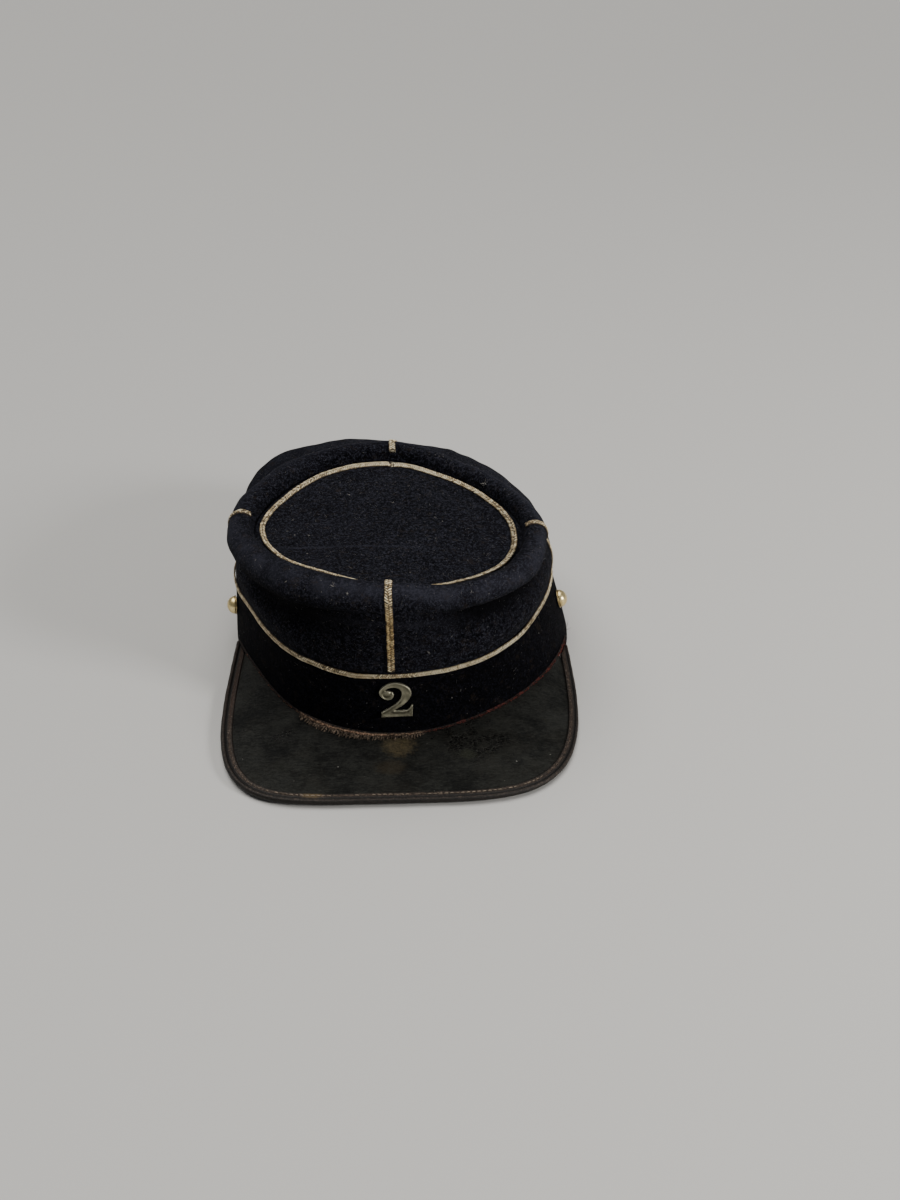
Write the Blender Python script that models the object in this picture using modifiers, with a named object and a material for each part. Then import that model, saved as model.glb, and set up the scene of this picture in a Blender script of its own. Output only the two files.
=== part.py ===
"""Kepi cap of dark wool cloth with a leather peak, metallic braids and two side buttons.

The front is towards -Y, up is +Z and +X is on the right as the cap is seen from its front.
The origin is the middle of the cap's outline on the surface it rests on. The tables and
sizes below are in millimetres, and MM turns them into metres where a mesh is made.

A place on the cap is named by its turn: 0 on the right (+X), 90 at the back, 180 on the
left and 270 at the front, in degrees.
"""

import math

import bmesh
import bpy
import numpy as np
from mathutils import Vector

MM = 0.001

# Driving dimensions
BAND_HEIGHT = 35.0
BAND_WALL = 2.6
CLOTH_WALL = 1.8
GAP = 0.35                # left between pieces that touch on the real cap
BRAID_WIDTH = 3.4
BRAID_THICKNESS = 0.9
RING_BRAID_WIDTH = 2.8
OVAL_BRAID_WIDTH = 3.0
PEAK_WALL = 1.4
PEAK_DEPTH = 139.4        # from the middle of the rim to the peak's front edge
BINDING_WIDTH = 4.4
BINDING_WALL = 0.6
SEAM_SIZE = (1.8, 0.9)    # how far the worn seam strip stands out, and its height
BUTTON_RADIUS = 4.7
BUTTON_HEIGHT = 4.6
BUTTON_RIM = 0.6          # straight edge under the button's dome
NUMERAL_THICKNESS = 1.2

# The crown leans to the left, and the line of the front and back braids leans with it.
MIDDLE_X = -4.0

# The plan of the cap at each level: how far the oval reaches from the line x = MIDDLE_X,
# y = centre_y to each side.
OVAL_COLUMNS = ("left", "right", "front", "back", "centre_y")
OVALS = {
    "rim": (80.0, 88.0, 100.0, 98.0, 0.0),
    "band_top": (77.5, 78.0, 96.0, 94.0, 0.0),
    "roll": (72.5, 66.5, 70.0, 73.5, -30.0),
    "top_braid": (60.8, 57.0, 61.0, 62.5, -30.0),
}

# How the band differs from its ovals at each turn, how high the leather meets it, and how much
# further out the band is at its top.
BAND_COLUMNS = ("band_out", "peak_up", "top_out")
BAND_TURNS = {
    0: (0.0, 4.0, 0.0),
    30: (0.0, 4.0, 0.0),
    60: (0.0, 4.0, 0.0),
    90: (0.0, 4.0, 0.0),
    120: (0.0, 4.0, 0.0),
    150: (0.3, 4.0, 0.0),
    180: (1.0, 5.0, 0.0),
    210: (-4.3, 7.0, 0.0),
    240: (-1.2, 6.2, 0.0),
    270: (0.0, 5.8, 0.0),
    300: (-0.4, 7.4, 0.8),
    330: (0.0, 7.2, -1.5),
}

# How the crown's wall goes up at each turn. The bulge and the shoulder are measured outwards
# from the band's top and up from the rim, and between the shoulder and the crease the cloth
# stands puff above a straight line. The roll is an arc about a centre on the roll oval; it
# starts at the angle tuck below level, where the wall is drawn in by crease_in. The oval
# braid on the top lies braid_out beyond its own oval, and the top is sewn in lower by top_drop.
CROWN_COLUMNS = (
    "bulge_out", "bulge_up", "shoulder_out", "shoulder_up", "puff",
    "roll_out", "roll_up", "roll_radius", "tuck", "crease_in", "braid_out", "top_drop",
)
CROWN_TURNS = {
    0: (-0.5, 47.0, -5.4, 58.0, 0.5, -1.5, 71.5, 5.4, -25.0, 2.0, -1.9, 0.0),
    30: (-1.5, 48.0, -8.0, 60.0, 1.2, -6.3, 72.3, 5.6, -30.0, 1.0, -6.2, 0.0),
    60: (-3.5, 49.0, -10.5, 64.0, 2.5, -8.3, 74.6, 6.2, -30.0, 1.5, -8.2, 0.0),
    90: (-3.0, 50.0, -11.5, 65.5, 3.5, -1.0, 76.5, 6.8, -25.0, 1.0, -4.7, 0.0),
    120: (-1.0, 51.0, -4.5, 68.5, 2.5, -1.0, 76.0, 7.0, -25.0, 1.5, -2.7, 0.0),
    150: (0.8, 49.0, 0.7, 68.3, 1.5, -3.0, 74.0, 7.0, -35.0, 2.0, -4.0, 0.0),
    180: (-1.5, 47.0, -4.5, 57.0, 0.0, -3.5, 72.8, 6.2, -50.0, 2.0, -1.8, 0.0),
    210: (1.5, 45.0, -2.5, 52.0, 0.0, -5.2, 73.0, 7.0, -28.0, 8.0, -3.7, 0.0),
    240: (0.5, 46.0, -2.5, 55.0, 0.0, -2.3, 75.2, 7.6, -38.0, 8.5, -4.7, 0.0),
    270: (2.8, 50.0, 6.2, 62.0, 0.0, 0.0, 75.6, 6.8, -20.0, 0.0, -0.2, 0.7),
    300: (1.0, 45.0, -1.0, 55.0, 0.0, 0.5, 71.8, 5.5, -60.0, 8.0, -0.7, 0.5),
    330: (1.0, 43.0, -2.5, 52.0, 0.0, 1.0, 70.4, 5.9, -65.0, 9.3, 2.0, 0.0),
}
CREASE_DROP = 1.5         # the crease is this far below the start of the roll's arc
ARC_KEYS = 6              # key points on the roll's arc, its ends included
TOP_RISE = -0.5           # the top cloth is sewn in this far above the roll's centre
TOP_PUFF = 1.2            # and rises this much more before its braid
TOP_MIDDLE_UP = 73.5      # height of the middle of the top

# Divisions of the faceted solids
ROUND = 48                # round the cap
WALL_STEPS = 2            # between two key points of the crown's profile
TOP_RINGS = 4             # between the top's middle and its braid
BUTTON_STEPS = 20         # round a button
SEAM_STEPS = 32           # along the worn seam

# The upright braids: the turn at which each one climbs the crown. Each lies LIFT off the
# cloth and ends END_PLACES before the groove, both because the roll bends so sharply.
UPRIGHT_BRAIDS = {"right_braid": 354.4, "back_braid": 90.0, "left_braid": 176.5, "front_braid": 269.7}
UPRIGHT_LIFT = 0.5
END_PLACES = 0.9
END_GAP_TURN = 0.3        # half the gap between the oval braid's two ends, at the back

# The peak's free edge is a superellipse about the middle line, squarer on the left.
PEAK_REACH_LEFT = 78.0
PEAK_REACH_RIGHT = 84.4
PEAK_POWER_LEFT = 5.0
PEAK_POWER_RIGHT = 4.4
PEAK_TURNS = (186.0, 354.0)
SEAM_TURNS = (208.0, 332.0)
PEAK_EDGE_UP = 3.0        # height of the leather's upper face along its free edge
PEAK_ROOT_IN = 1.5        # the leather is drawn from this far inside the band's face, then cut
PEAK_HOLLOW = 1.2         # above 1, the leather's slope is hollow near the band
PEAK_ACROSS = 56
PEAK_OUTWARD = 6

# The buttons: turn and height on the band
BUTTONS = {"left_button": 187.5, "right_button": 352.5}
BUTTON_UP = 21.5

# The figure's outline, in millimetres right of its left side and up from its foot
NUMERAL_MIDDLE = (7.5, 9.5)
NUMERAL_SCALE = (0.97, 0.897)
NUMERAL_RIGHT = 1.25      # from the middle line to the figure's middle
NUMERAL_UP = 23.4
NUMERAL_OUTLINE = {
    "curl": [(2.6, 9.8), (0.9, 11.2), (0.0, 13.4), (0.9, 15.8), (3.4, 17.9), (7.2, 18.9)],
    "bowl": [(11.2, 17.7), (13.6, 15.6), (14.4, 13.0), (13.4, 9.9), (11.0, 6.9), (8.2, 4.9)],
    "foot": [(6.6, 3.7), (12.4, 4.0), (14.3, 6.8), (15.0, 6.8), (14.8, 0.4), (0.8, 0.0), (0.8, 2.8)],
    "stem": [(4.6, 5.3), (7.2, 7.3), (9.1, 9.5), (10.0, 12.0), (9.8, 14.2), (8.2, 15.9)],
    "eye": [(5.9, 16.2), (3.9, 15.7), (2.8, 14.4), (4.5, 14.2), (6.0, 13.6), (6.6, 12.0)],
    "eye_end": [(6.0, 10.4), (4.5, 9.6)],
}

# Finishes: base colour, roughness and metallic value
FINISHES = {
    "navy_cloth": ((0.006, 0.007, 0.014), 0.95, 0.0),
    "metallic_braid": ((0.55, 0.47, 0.36), 0.38, 0.9),
    "peak_leather": ((0.016, 0.017, 0.014), 0.42, 0.0),
    "binding_leather": ((0.02, 0.014, 0.011), 0.5, 0.0),
    "worn_seam": ((0.12, 0.055, 0.035), 0.85, 0.0),
    "button_brass": ((0.55, 0.47, 0.28), 0.32, 1.0),
    "white_metal": ((0.32, 0.31, 0.24), 0.4, 0.9),
}

# Small steps used to find directions on a surface
TURN_STEP = 0.5           # degrees
PLACE_STEP = 0.05         # key points of the crown's profile


# ---------------------------------------------------------------- ovals and profiles
def oval(name, turn):
    """Plan points of a named oval at an array of turns: each quarter is a quarter ellipse."""
    size = dict(zip(OVAL_COLUMNS, OVALS[name]))
    across, along = np.cos(np.radians(turn)), np.sin(np.radians(turn))
    x = MIDDLE_X + np.where(across > 0, size["right"], size["left"]) * across
    y = size["centre_y"] + np.where(along > 0, size["back"], size["front"]) * along
    return np.stack([x, y], axis=-1)


def plan_outward(line, turn):
    """Unit plan vectors that point straight out of a closed line, given as a function of turn."""
    ahead = line(turn + TURN_STEP) - line(turn - TURN_STEP)
    outward = np.stack([ahead[..., 1], -ahead[..., 0]], axis=-1)
    return outward / np.linalg.norm(outward, axis=-1, keepdims=True)


def oval_outward(name, turn):
    return plan_outward(lambda place: oval(name, place), turn)


def lifted(plan, up):
    """Plan points given a height."""
    return np.concatenate([plan, np.broadcast_to(up, plan.shape[:-1])[..., None]], axis=-1)


def table_values(columns, table, turn):
    """A table's columns at an array of turns, on a smooth curve round the cap.

    The rows are evenly spaced, and between two rows the curve is the cubic whose slope at
    each row is that of the straight line between its neighbours.
    """
    rows = np.array(list(table.values()))
    spacing = 360.0 / len(rows)
    place = np.asarray(turn) / spacing
    index = np.floor(place).astype(int)
    part = (place - index)[..., None]
    before, here, after, beyond = (rows[(index + k) % len(rows)] for k in (-1, 0, 1, 2))
    found = here + 0.5 * part * (
        after - before
        + part * (2 * before - 5 * here + 4 * after - beyond
                  + part * (3 * (here - after) + beyond - before))
    )
    return dict(zip(columns, np.moveaxis(found, -1, 0)))


def band_values(turn):
    return table_values(BAND_COLUMNS, BAND_TURNS, turn)


def crown_values(turn):
    return table_values(CROWN_COLUMNS, CROWN_TURNS, turn)


def band_point(turn, up, out=0.0):
    """A point of the band's outer face, which narrows evenly from the rim to the top."""
    share = np.clip(up / BAND_HEIGHT, 0.0, 1.0)
    share = np.broadcast_to(share, np.shape(turn))[..., None]
    plan = (1.0 - share) * oval("rim", turn) + share * oval("band_top", turn)
    outward = (1.0 - share) * oval_outward("rim", turn) + share * oval_outward("band_top", turn)
    at = band_values(turn)
    reach = out + at["band_out"][..., None] + share**2 * at["top_out"][..., None]
    return lifted(plan + reach * outward, up)


def crown_keys(turn):
    """The key points of the crown's profile at each turn, from the band's top to the groove."""
    at = crown_values(turn)
    wall, wall_out = band_point(turn, BAND_HEIGHT)[..., :2], oval_outward("band_top", turn)
    roll, roll_out = oval("roll", turn), oval_outward("roll", turn)
    start = np.radians(at["tuck"])

    def on_wall(out, up):
        return lifted(wall + np.asarray(out)[..., None] * wall_out, up)

    def on_roll(angle, inward=0.0, lower=0.0):
        reach = at["roll_out"] + at["roll_radius"] * np.cos(angle) - inward
        up = at["roll_up"] + at["roll_radius"] * np.sin(angle) - lower
        return lifted(roll + reach[..., None] * roll_out, up)

    shoulder = on_wall(at["shoulder_out"], at["shoulder_up"])
    crease = on_roll(start, at["crease_in"], CREASE_DROP)
    halfway = (shoulder + crease) / 2
    halfway[..., 2] += at["puff"]
    keys = [
        on_wall(np.zeros_like(start), BAND_HEIGHT + 1.5 * GAP),
        on_wall(at["bulge_out"], at["bulge_up"]),
        shoulder,
        halfway,
        crease,
    ]
    for share in np.linspace(0.0, 1.0, ARC_KEYS):
        keys.append(on_roll(start + share * (math.pi - start)))
    return np.stack(keys, axis=-2)


def spline(keys, place):
    """Points on a smooth curve through key points, at places counted in keys.

    Each key's slope is that of the parabola through it and its neighbours, measured along
    the straight lines between them, and a cubic joins each key to the next.
    """
    span = np.linalg.norm(np.diff(keys, axis=-2), axis=-1)[..., None]
    rate = np.diff(keys, axis=-2) / span
    inner = (rate[..., :-1, :] * span[..., 1:, :] + rate[..., 1:, :] * span[..., :-1, :])
    inner = inner / (span[..., 1:, :] + span[..., :-1, :])
    slope = np.concatenate([rate[..., :1, :], inner, rate[..., -1:, :]], axis=-2)
    index = np.minimum(np.floor(place).astype(int), keys.shape[-2] - 2)
    t = (place - index)[:, None]
    length = span[..., index, :]
    return (
        (2 * t**3 - 3 * t**2 + 1) * keys[..., index, :]
        + (t**3 - 2 * t**2 + t) * length * slope[..., index, :]
        + (3 * t**2 - 2 * t**3) * keys[..., index + 1, :]
        + (t**3 - t**2) * length * slope[..., index + 1, :]
    )


def crown_surface(turn, place):
    """Grid of points on the crown: one row for each turn, one column for each place."""
    return spline(crown_keys(np.asarray(turn, float)), np.asarray(place, float))


CREASE_PLACE = 4                          # the places of the crease under the roll
CROWN_LAST = CREASE_PLACE + ARC_KEYS      # and of the crown's inner edge, in the groove


def crown_places():
    return np.linspace(0.0, CROWN_LAST, CROWN_LAST * WALL_STEPS + 1)


def top_lines(turn):
    """Plan points of the top at each turn: its middle, its braid's middle line and its edge."""
    middle = np.array([MIDDLE_X, OVALS["top_braid"][OVAL_COLUMNS.index("centre_y")]])
    braid_out = crown_values(turn)["braid_out"][..., None]
    braid = oval("top_braid", turn) + braid_out * oval_outward("top_braid", turn)
    groove = crown_surface(turn, [CROWN_LAST])[..., 0, :2]
    return middle, braid, groove - GAP * oval_outward("roll", turn)


def braid_shares(turn):
    """The shares of the way across the top at which its braid's outer and inner edges lie."""
    middle, braid, edge = top_lines(turn)
    inside = np.linalg.norm(braid - middle, axis=-1)
    outside = np.linalg.norm(edge - braid, axis=-1)
    return 1.0 + OVAL_BRAID_WIDTH / 2 / outside, 1.0 - OVAL_BRAID_WIDTH / 2 / inside


def top_height(turn, share):
    """Height of the top cloth, from its middle (share 0) over its braid (1) to its edge (2)."""
    at = crown_values(turn)
    edge = at["roll_up"] - at["top_drop"] + TOP_RISE
    over_braid = edge + TOP_PUFF
    inside = TOP_MIDDLE_UP + (over_braid - TOP_MIDDLE_UP) * np.minimum(share, 1.0) ** 2
    return inside - TOP_PUFF * np.maximum(share - 1.0, 0.0) ** 2


def top_point(turn, share):
    """A point of the top: straight lines run from its middle to the braid and on to the edge."""
    middle, braid, edge = top_lines(turn)
    share = np.broadcast_to(share, np.shape(turn))
    inner, outer = np.minimum(share, 1.0)[..., None], np.maximum(share - 1.0, 0.0)[..., None]
    plan = middle + inner * (braid - middle) + outer * (edge - braid)
    return lifted(plan, top_height(turn, share))


def peak_edge(turn):
    """The peak's free edge in plan: a superellipse, with its own reach and power each side."""
    across, along = np.cos(np.radians(turn)), np.sin(np.radians(turn))
    right = across > 0
    reach = np.where(right, PEAK_REACH_RIGHT, PEAK_REACH_LEFT)
    power = np.where(right, PEAK_POWER_RIGHT, PEAK_POWER_LEFT)
    total = np.abs(across / reach) ** power + np.abs(along / PEAK_DEPTH) ** power
    size = total ** (-1.0 / power)
    return np.stack([MIDDLE_X + size * across, size * along], axis=-1)


def peak_surface(turn, share):
    """The leather's upper face, from inside the band's wall (share 0) to its free edge (1).

    It is level under the binding and rises from there to the band.
    """
    root_up = band_values(turn)["peak_up"]
    root = band_point(turn, root_up, out=-PEAK_ROOT_IN)[..., :2]
    edge = peak_edge(turn)
    length = np.linalg.norm(edge - root, axis=-1)
    free = np.maximum(length - BINDING_WIDTH, 1.0)
    rise = np.clip(((1.0 - share) * length - BINDING_WIDTH) / free, 0.0, 1.0) ** PEAK_HOLLOW
    return lifted(root + share * (edge - root), PEAK_EDGE_UP + (root_up - PEAK_EDGE_UP) * rise)


# ---------------------------------------------------------------- meshes and objects
def finish(name):
    """The material with a named finish, made when it is first asked for."""
    material = bpy.data.materials.get(name)
    if material is None:
        colour, roughness, metallic = FINISHES[name]
        material = bpy.data.materials.new(name)
        material.use_nodes = True
        shader = material.node_tree.nodes["Principled BSDF"]
        shader.inputs["Base Color"].default_value = (*colour, 1.0)
        shader.inputs["Roughness"].default_value = roughness
        shader.inputs["Metallic"].default_value = metallic
        material.diffuse_color = (*colour, 1.0)
    return material


def named_object(name, data, collection, finish_name):
    obj = bpy.data.objects.new(name, data)
    collection.objects.link(obj)
    data.materials.append(finish(finish_name))
    return obj


def grid_faces(rows, columns, close_rows=False, close_columns=False):
    """Quads over a grid of points; a closed direction joins its last line to its first."""
    quads = []
    for i in range(rows if close_rows else rows - 1):
        for j in range(columns if close_columns else columns - 1):
            i2, j2 = (i + 1) % rows, (j + 1) % columns
            quads.append((i * columns + j, i2 * columns + j, i2 * columns + j2, i * columns + j2))
    return quads


def sheet_object(
    name, points, thickness, collection, finish_name, close_rows=False, outward=False
):
    """An open surface over a grid of points, given a wall by Solidify.

    The wall grows behind the surface, or in front of it where outward is true.
    """
    rows, columns = points.shape[:2]
    mesh = bpy.data.meshes.new(name)
    mesh.from_pydata(points.reshape(-1, 3) * MM, [], grid_faces(rows, columns, close_rows))
    mesh.shade_smooth()
    obj = named_object(name, mesh, collection, finish_name)
    wall = obj.modifiers.new("wall", "SOLIDIFY")
    wall.thickness = thickness * MM
    wall.offset = 1.0 if outward else -1.0
    return obj


def loft_object(name, sections, collection, finish_name, closed=False):
    """A solid through a row of closed sections; an open row gets a face at each end."""
    rows, columns = sections.shape[:2]
    faces = grid_faces(rows, columns, close_rows=closed, close_columns=True)
    if not closed:
        faces += [tuple(range(columns))[::-1], tuple((rows - 1) * columns + k for k in range(columns))]
    mesh = bpy.data.meshes.new(name)
    mesh.from_pydata(sections.reshape(-1, 3) * MM, [], faces)
    mesh_bm = bmesh.new()
    mesh_bm.from_mesh(mesh)
    bmesh.ops.recalc_face_normals(mesh_bm, faces=mesh_bm.faces)
    bmesh.ops.triangulate(mesh_bm, faces=[f for f in mesh_bm.faces if len(f.verts) > 4])
    mesh_bm.to_mesh(mesh)
    mesh_bm.free()
    return named_object(name, mesh, collection, finish_name)


def cut_away(obj, cutter):
    cut = obj.modifiers.new("cut", "BOOLEAN")
    cut.operation = "DIFFERENCE"
    cut.object = cutter


# ---------------------------------------------------------------- the pieces
def round_turns():
    return np.arange(ROUND) * 360.0 / ROUND


def make_band(collection):
    """The stiff band: four-cornered sections carried round, with a flat rim below."""
    turn = round_turns()
    corners = [
        band_point(turn, 0.0),
        band_point(turn, BAND_HEIGHT / 2),
        band_point(turn, BAND_HEIGHT),
        band_point(turn, BAND_HEIGHT, out=-BAND_WALL),
        band_point(turn, BAND_HEIGHT / 2, out=-BAND_WALL),
        band_point(turn, 0.0, out=-BAND_WALL),
    ]
    return loft_object("band", np.stack(corners, axis=1), collection, "navy_cloth", closed=True)


def make_crown(collection):
    points = crown_surface(round_turns(), crown_places())
    return sheet_object("crown", points, CLOTH_WALL, collection, "navy_cloth", close_rows=True)


def make_top(collection):
    """The sunken top: rings of points from its edge inwards, closed by a point in the middle."""
    turn = round_turns()
    outer, inner = braid_shares(turn)
    shares = [2.0, outer, inner] + [k / TOP_RINGS for k in range(TOP_RINGS - 1, 0, -1)]
    rings = np.stack([top_point(turn, share) for share in shares], axis=1)
    points = np.concatenate([rings.reshape(-1, 3), top_point(turn[:1], 0.0)])
    faces = grid_faces(ROUND, len(shares), close_rows=True)
    last, middle = len(shares) - 1, len(points) - 1
    for i in range(ROUND):
        faces.append((i * len(shares) + last, ((i + 1) % ROUND) * len(shares) + last, middle))
    mesh = bpy.data.meshes.new("crown_top")
    mesh.from_pydata(points * MM, [], faces)
    mesh.shade_smooth()
    obj = named_object("crown_top", mesh, collection, "navy_cloth")
    wall = obj.modifiers.new("wall", "SOLIDIFY")
    wall.thickness = CLOTH_WALL * MM
    wall.offset = -1.0
    return obj


def make_band_braid(collection):
    """The braid over the joint of band and crown, its back face one gap off the cloth."""
    turn = round_turns()
    low, high = BAND_HEIGHT - RING_BRAID_WIDTH / 2, BAND_HEIGHT + RING_BRAID_WIDTH / 2
    face = GAP + BRAID_THICKNESS
    corners = [
        band_point(turn, low, out=GAP),
        band_point(turn, low, out=face),
        band_point(turn, high, out=face),
        band_point(turn, high, out=GAP),
    ]
    return loft_object("band_braid", np.stack(corners, axis=1), collection, "metallic_braid", closed=True)


def surface_directions(turn, place):
    """Unit vectors along the cap's round and straight out of the crown at places of one turn."""
    beside = crown_surface([turn - TURN_STEP, turn + TURN_STEP], place)
    around = beside[1] - beside[0]
    around /= np.linalg.norm(around, axis=-1, keepdims=True)
    ahead = crown_surface([turn], np.minimum(place + PLACE_STEP, CROWN_LAST))[0]
    behind = crown_surface([turn], np.maximum(place - PLACE_STEP, 0.0))[0]
    outward = np.cross(around, ahead - behind)
    return around, outward / np.linalg.norm(outward, axis=-1, keepdims=True)


def make_upright_braids(collection):
    """Each upright braid: a strip that follows the crown from the ring braid over the roll.

    It is too stiff to dip into the crease under the roll, so it passes straight over that.
    """
    first_key_height = CROWN_TURNS[270][CROWN_COLUMNS.index("bulge_up")] - BAND_HEIGHT
    start = (RING_BRAID_WIDTH / 2 + GAP) / first_key_height
    places = crown_places()
    follow = (places > start + PLACE_STEP) & (places < CROWN_LAST - END_PLACES)
    follow &= places != CREASE_PLACE
    places = np.concatenate([[start], places[follow]])
    for name, turn in UPRIGHT_BRAIDS.items():
        around, outward = surface_directions(turn, places)
        middle = crown_surface([turn], places)[0] + UPRIGHT_LIFT * outward
        strip = np.stack([middle + side * BRAID_WIDTH / 2 * around for side in (-1.0, 0.0, 1.0)])
        sheet_object(name, strip, BRAID_THICKNESS, collection, "metallic_braid", outward=True)


def make_top_braid(collection):
    """The oval braid on the top, open by a small gap at the back where its ends meet."""
    back = 90.0
    round_from_back = back + np.arange(1, ROUND) * 360.0 / ROUND
    ends = [back + END_GAP_TURN, back + 360.0 - END_GAP_TURN]
    turn = np.concatenate([ends[:1], round_from_back, ends[1:]])
    strip = np.stack([top_point(turn, share) for share in braid_shares(turn)], axis=1)
    strip[..., 2] += GAP
    return sheet_object("top_braid", strip, BRAID_THICKNESS, collection, "metallic_braid", outward=True)


def make_band_plug(collection):
    """A cutter: the space that the band fills, one gap larger all round and open below."""
    turn = round_turns()
    below = -PEAK_WALL - BAND_WALL
    rings = [band_point(turn, up, out=GAP) for up in (below, 0.0, BAND_HEIGHT / 2)]
    plug = loft_object("band_plug", np.stack(rings, axis=0), collection, "navy_cloth")
    plug.hide_render = True
    plug.display_type = "WIRE"
    return plug


def peak_turns():
    return np.linspace(*PEAK_TURNS, PEAK_ACROSS + 1)


def make_peak(collection, plug):
    turn = peak_turns()
    shares = np.linspace(1.0, 0.0, PEAK_OUTWARD + 1)
    points = np.stack([peak_surface(turn, share) for share in shares], axis=1)
    peak = sheet_object("peak", points, PEAK_WALL, collection, "peak_leather")
    cut_away(peak, plug)
    return peak


def make_peak_binding(collection, plug):
    """The binding: a U that holds the leather's edge with a gap, rounded on its outer side."""
    turn = peak_turns()
    edge, outward = peak_edge(turn), plan_outward(peak_edge, turn)
    inside_top, inside_low = GAP, -PEAK_WALL - GAP
    middle, half = (inside_top + inside_low) / 2, (inside_top - inside_low) / 2
    flap = -(BINDING_WIDTH - BINDING_WALL - GAP)
    section = [(flap, inside_top + BINDING_WALL)]
    for angle in np.radians([90, 45, 0, -45, -90]):
        out, up = GAP + BINDING_WALL * math.cos(angle), middle + (half + BINDING_WALL) * math.sin(angle)
        section.append((out, up))
    section += [(flap, inside_low - BINDING_WALL), (flap, inside_low)]
    section += [(GAP, inside_low), (GAP, inside_top), (flap, inside_top)]
    rings = [lifted(edge + out * outward, PEAK_EDGE_UP + up) for out, up in section]
    binding = loft_object("peak_binding", np.stack(rings, axis=1), collection, "binding_leather")
    cut_away(binding, plug)
    return binding


def make_peak_seam(collection):
    """The worn seam strip that lies in the corner between the peak and the band."""
    turn = np.linspace(*SEAM_TURNS, SEAM_STEPS + 1)
    width, height = SEAM_SIZE
    low = band_values(turn)["peak_up"] + GAP
    inner = 1.5 * GAP
    corners = [
        band_point(turn, low, out=inner),
        band_point(turn, low, out=inner + width),
        band_point(turn, low + height, out=inner + width / 2),
        band_point(turn, low + height, out=inner),
    ]
    return loft_object("peak_seam", np.stack(corners, axis=1), collection, "worn_seam")


def make_buttons(collection):
    """Two turned domes with a flat back, square to the band's face."""
    profile = [(0.0, BUTTON_HEIGHT)]
    for angle in np.radians([75, 60, 45, 30, 15, 0]):
        height = BUTTON_RIM + (BUTTON_HEIGHT - BUTTON_RIM) * math.sin(angle)
        profile.append((BUTTON_RADIUS * math.cos(angle), height))
    edge = BUTTON_RIM / 2
    profile += [(BUTTON_RADIUS, edge), (BUTTON_RADIUS - edge, 0.0), (0.0, 0.0)]
    points = [(radius * MM, 0.0, height * MM) for radius, height in profile]
    edges = [(i, i + 1) for i in range(len(points) - 1)]
    for name, turn in BUTTONS.items():
        mesh = bpy.data.meshes.new(name)
        mesh.from_pydata(points, edges, [])
        obj = named_object(name, mesh, collection, "button_brass")
        turned = obj.modifiers.new("turned", "SCREW")
        turned.steps = turned.render_steps = BUTTON_STEPS
        turned.use_merge_vertices = True
        turned.merge_threshold = 0.00001
        here, above = (band_point(np.array([turn]), up)[0] for up in (BUTTON_UP, BUTTON_UP + 1.0))
        beside = band_point(np.array([turn + TURN_STEP]), BUTTON_UP)[0]
        outward = Vector(np.cross(beside - here, above - here)).normalized()
        obj.location = Vector(here * MM) + outward * (2 * GAP * MM)
        obj.rotation_mode = "QUATERNION"
        obj.rotation_quaternion = outward.to_track_quat("Z", "Y")


def make_numeral(collection):
    """The flat figure on the band's front, a filled outline with half its thickness each way."""
    outline = [point for part in NUMERAL_OUTLINE.values() for point in part]
    curve = bpy.data.curves.new("numeral", "CURVE")
    curve.dimensions = "2D"
    curve.fill_mode = "BOTH"
    curve.extrude = NUMERAL_THICKNESS / 2 * MM
    line = curve.splines.new("POLY")
    line.points.add(len(outline) - 1)
    wide, tall = (scale * MM for scale in NUMERAL_SCALE)
    for point, (x, y) in zip(line.points, outline):
        point.co = ((x - NUMERAL_MIDDLE[0]) * wide, (y - NUMERAL_MIDDLE[1]) * tall, 0.0, 1.0)
    line.use_cyclic_u = True
    obj = named_object("numeral", curve, collection, "white_metal")
    front = np.array([270.0])
    low, high = band_point(front, 0.0)[0], band_point(front, BAND_HEIGHT)[0]
    lean = math.atan2(high[1] - low[1], BAND_HEIGHT)
    face = band_point(front, NUMERAL_UP)[0]
    clearance = GAP + NUMERAL_THICKNESS / 2
    obj.location = Vector((face[0] + NUMERAL_RIGHT, face[1] - clearance, face[2])) * MM
    obj.rotation_euler = (math.radians(90.0) - lean, 0.0, 0.0)
    return obj


def shift_to_origin(collection):
    """The level move that brings the middle of the pieces' outline onto the origin."""
    graph = bpy.context.evaluated_depsgraph_get()
    corners = []
    for obj in collection.objects:
        shape = obj.evaluated_get(graph)
        mesh = shape.to_mesh()
        corners += [obj.matrix_world @ vertex.co for vertex in mesh.vertices]
        shape.to_mesh_clear()
    low = Vector([min(corner[k] for corner in corners) for k in range(3)])
    high = Vector([max(corner[k] for corner in corners) for k in range(3)])
    return Vector((-(low.x + high.x) / 2, -(low.y + high.y) / 2, 0.0))


def main():
    for obj in list(bpy.data.objects):
        bpy.data.objects.remove(obj, do_unlink=True)
    cap = bpy.data.collections.new("kepi_cap")
    cutters = bpy.data.collections.new("cutters")
    for collection in (cap, cutters):
        bpy.context.scene.collection.children.link(collection)

    plug = make_band_plug(cutters)
    make_band(cap)
    make_crown(cap)
    make_top(cap)
    make_band_braid(cap)
    make_upright_braids(cap)
    make_top_braid(cap)
    make_peak(cap, plug)
    make_peak_binding(cap, plug)
    make_peak_seam(cap)
    make_buttons(cap)
    make_numeral(cap)

    bpy.context.view_layer.update()
    shift = shift_to_origin(cap)
    for obj in [*cap.objects, plug]:
        obj.location += shift
    bpy.context.view_layer.update()


main()
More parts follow.
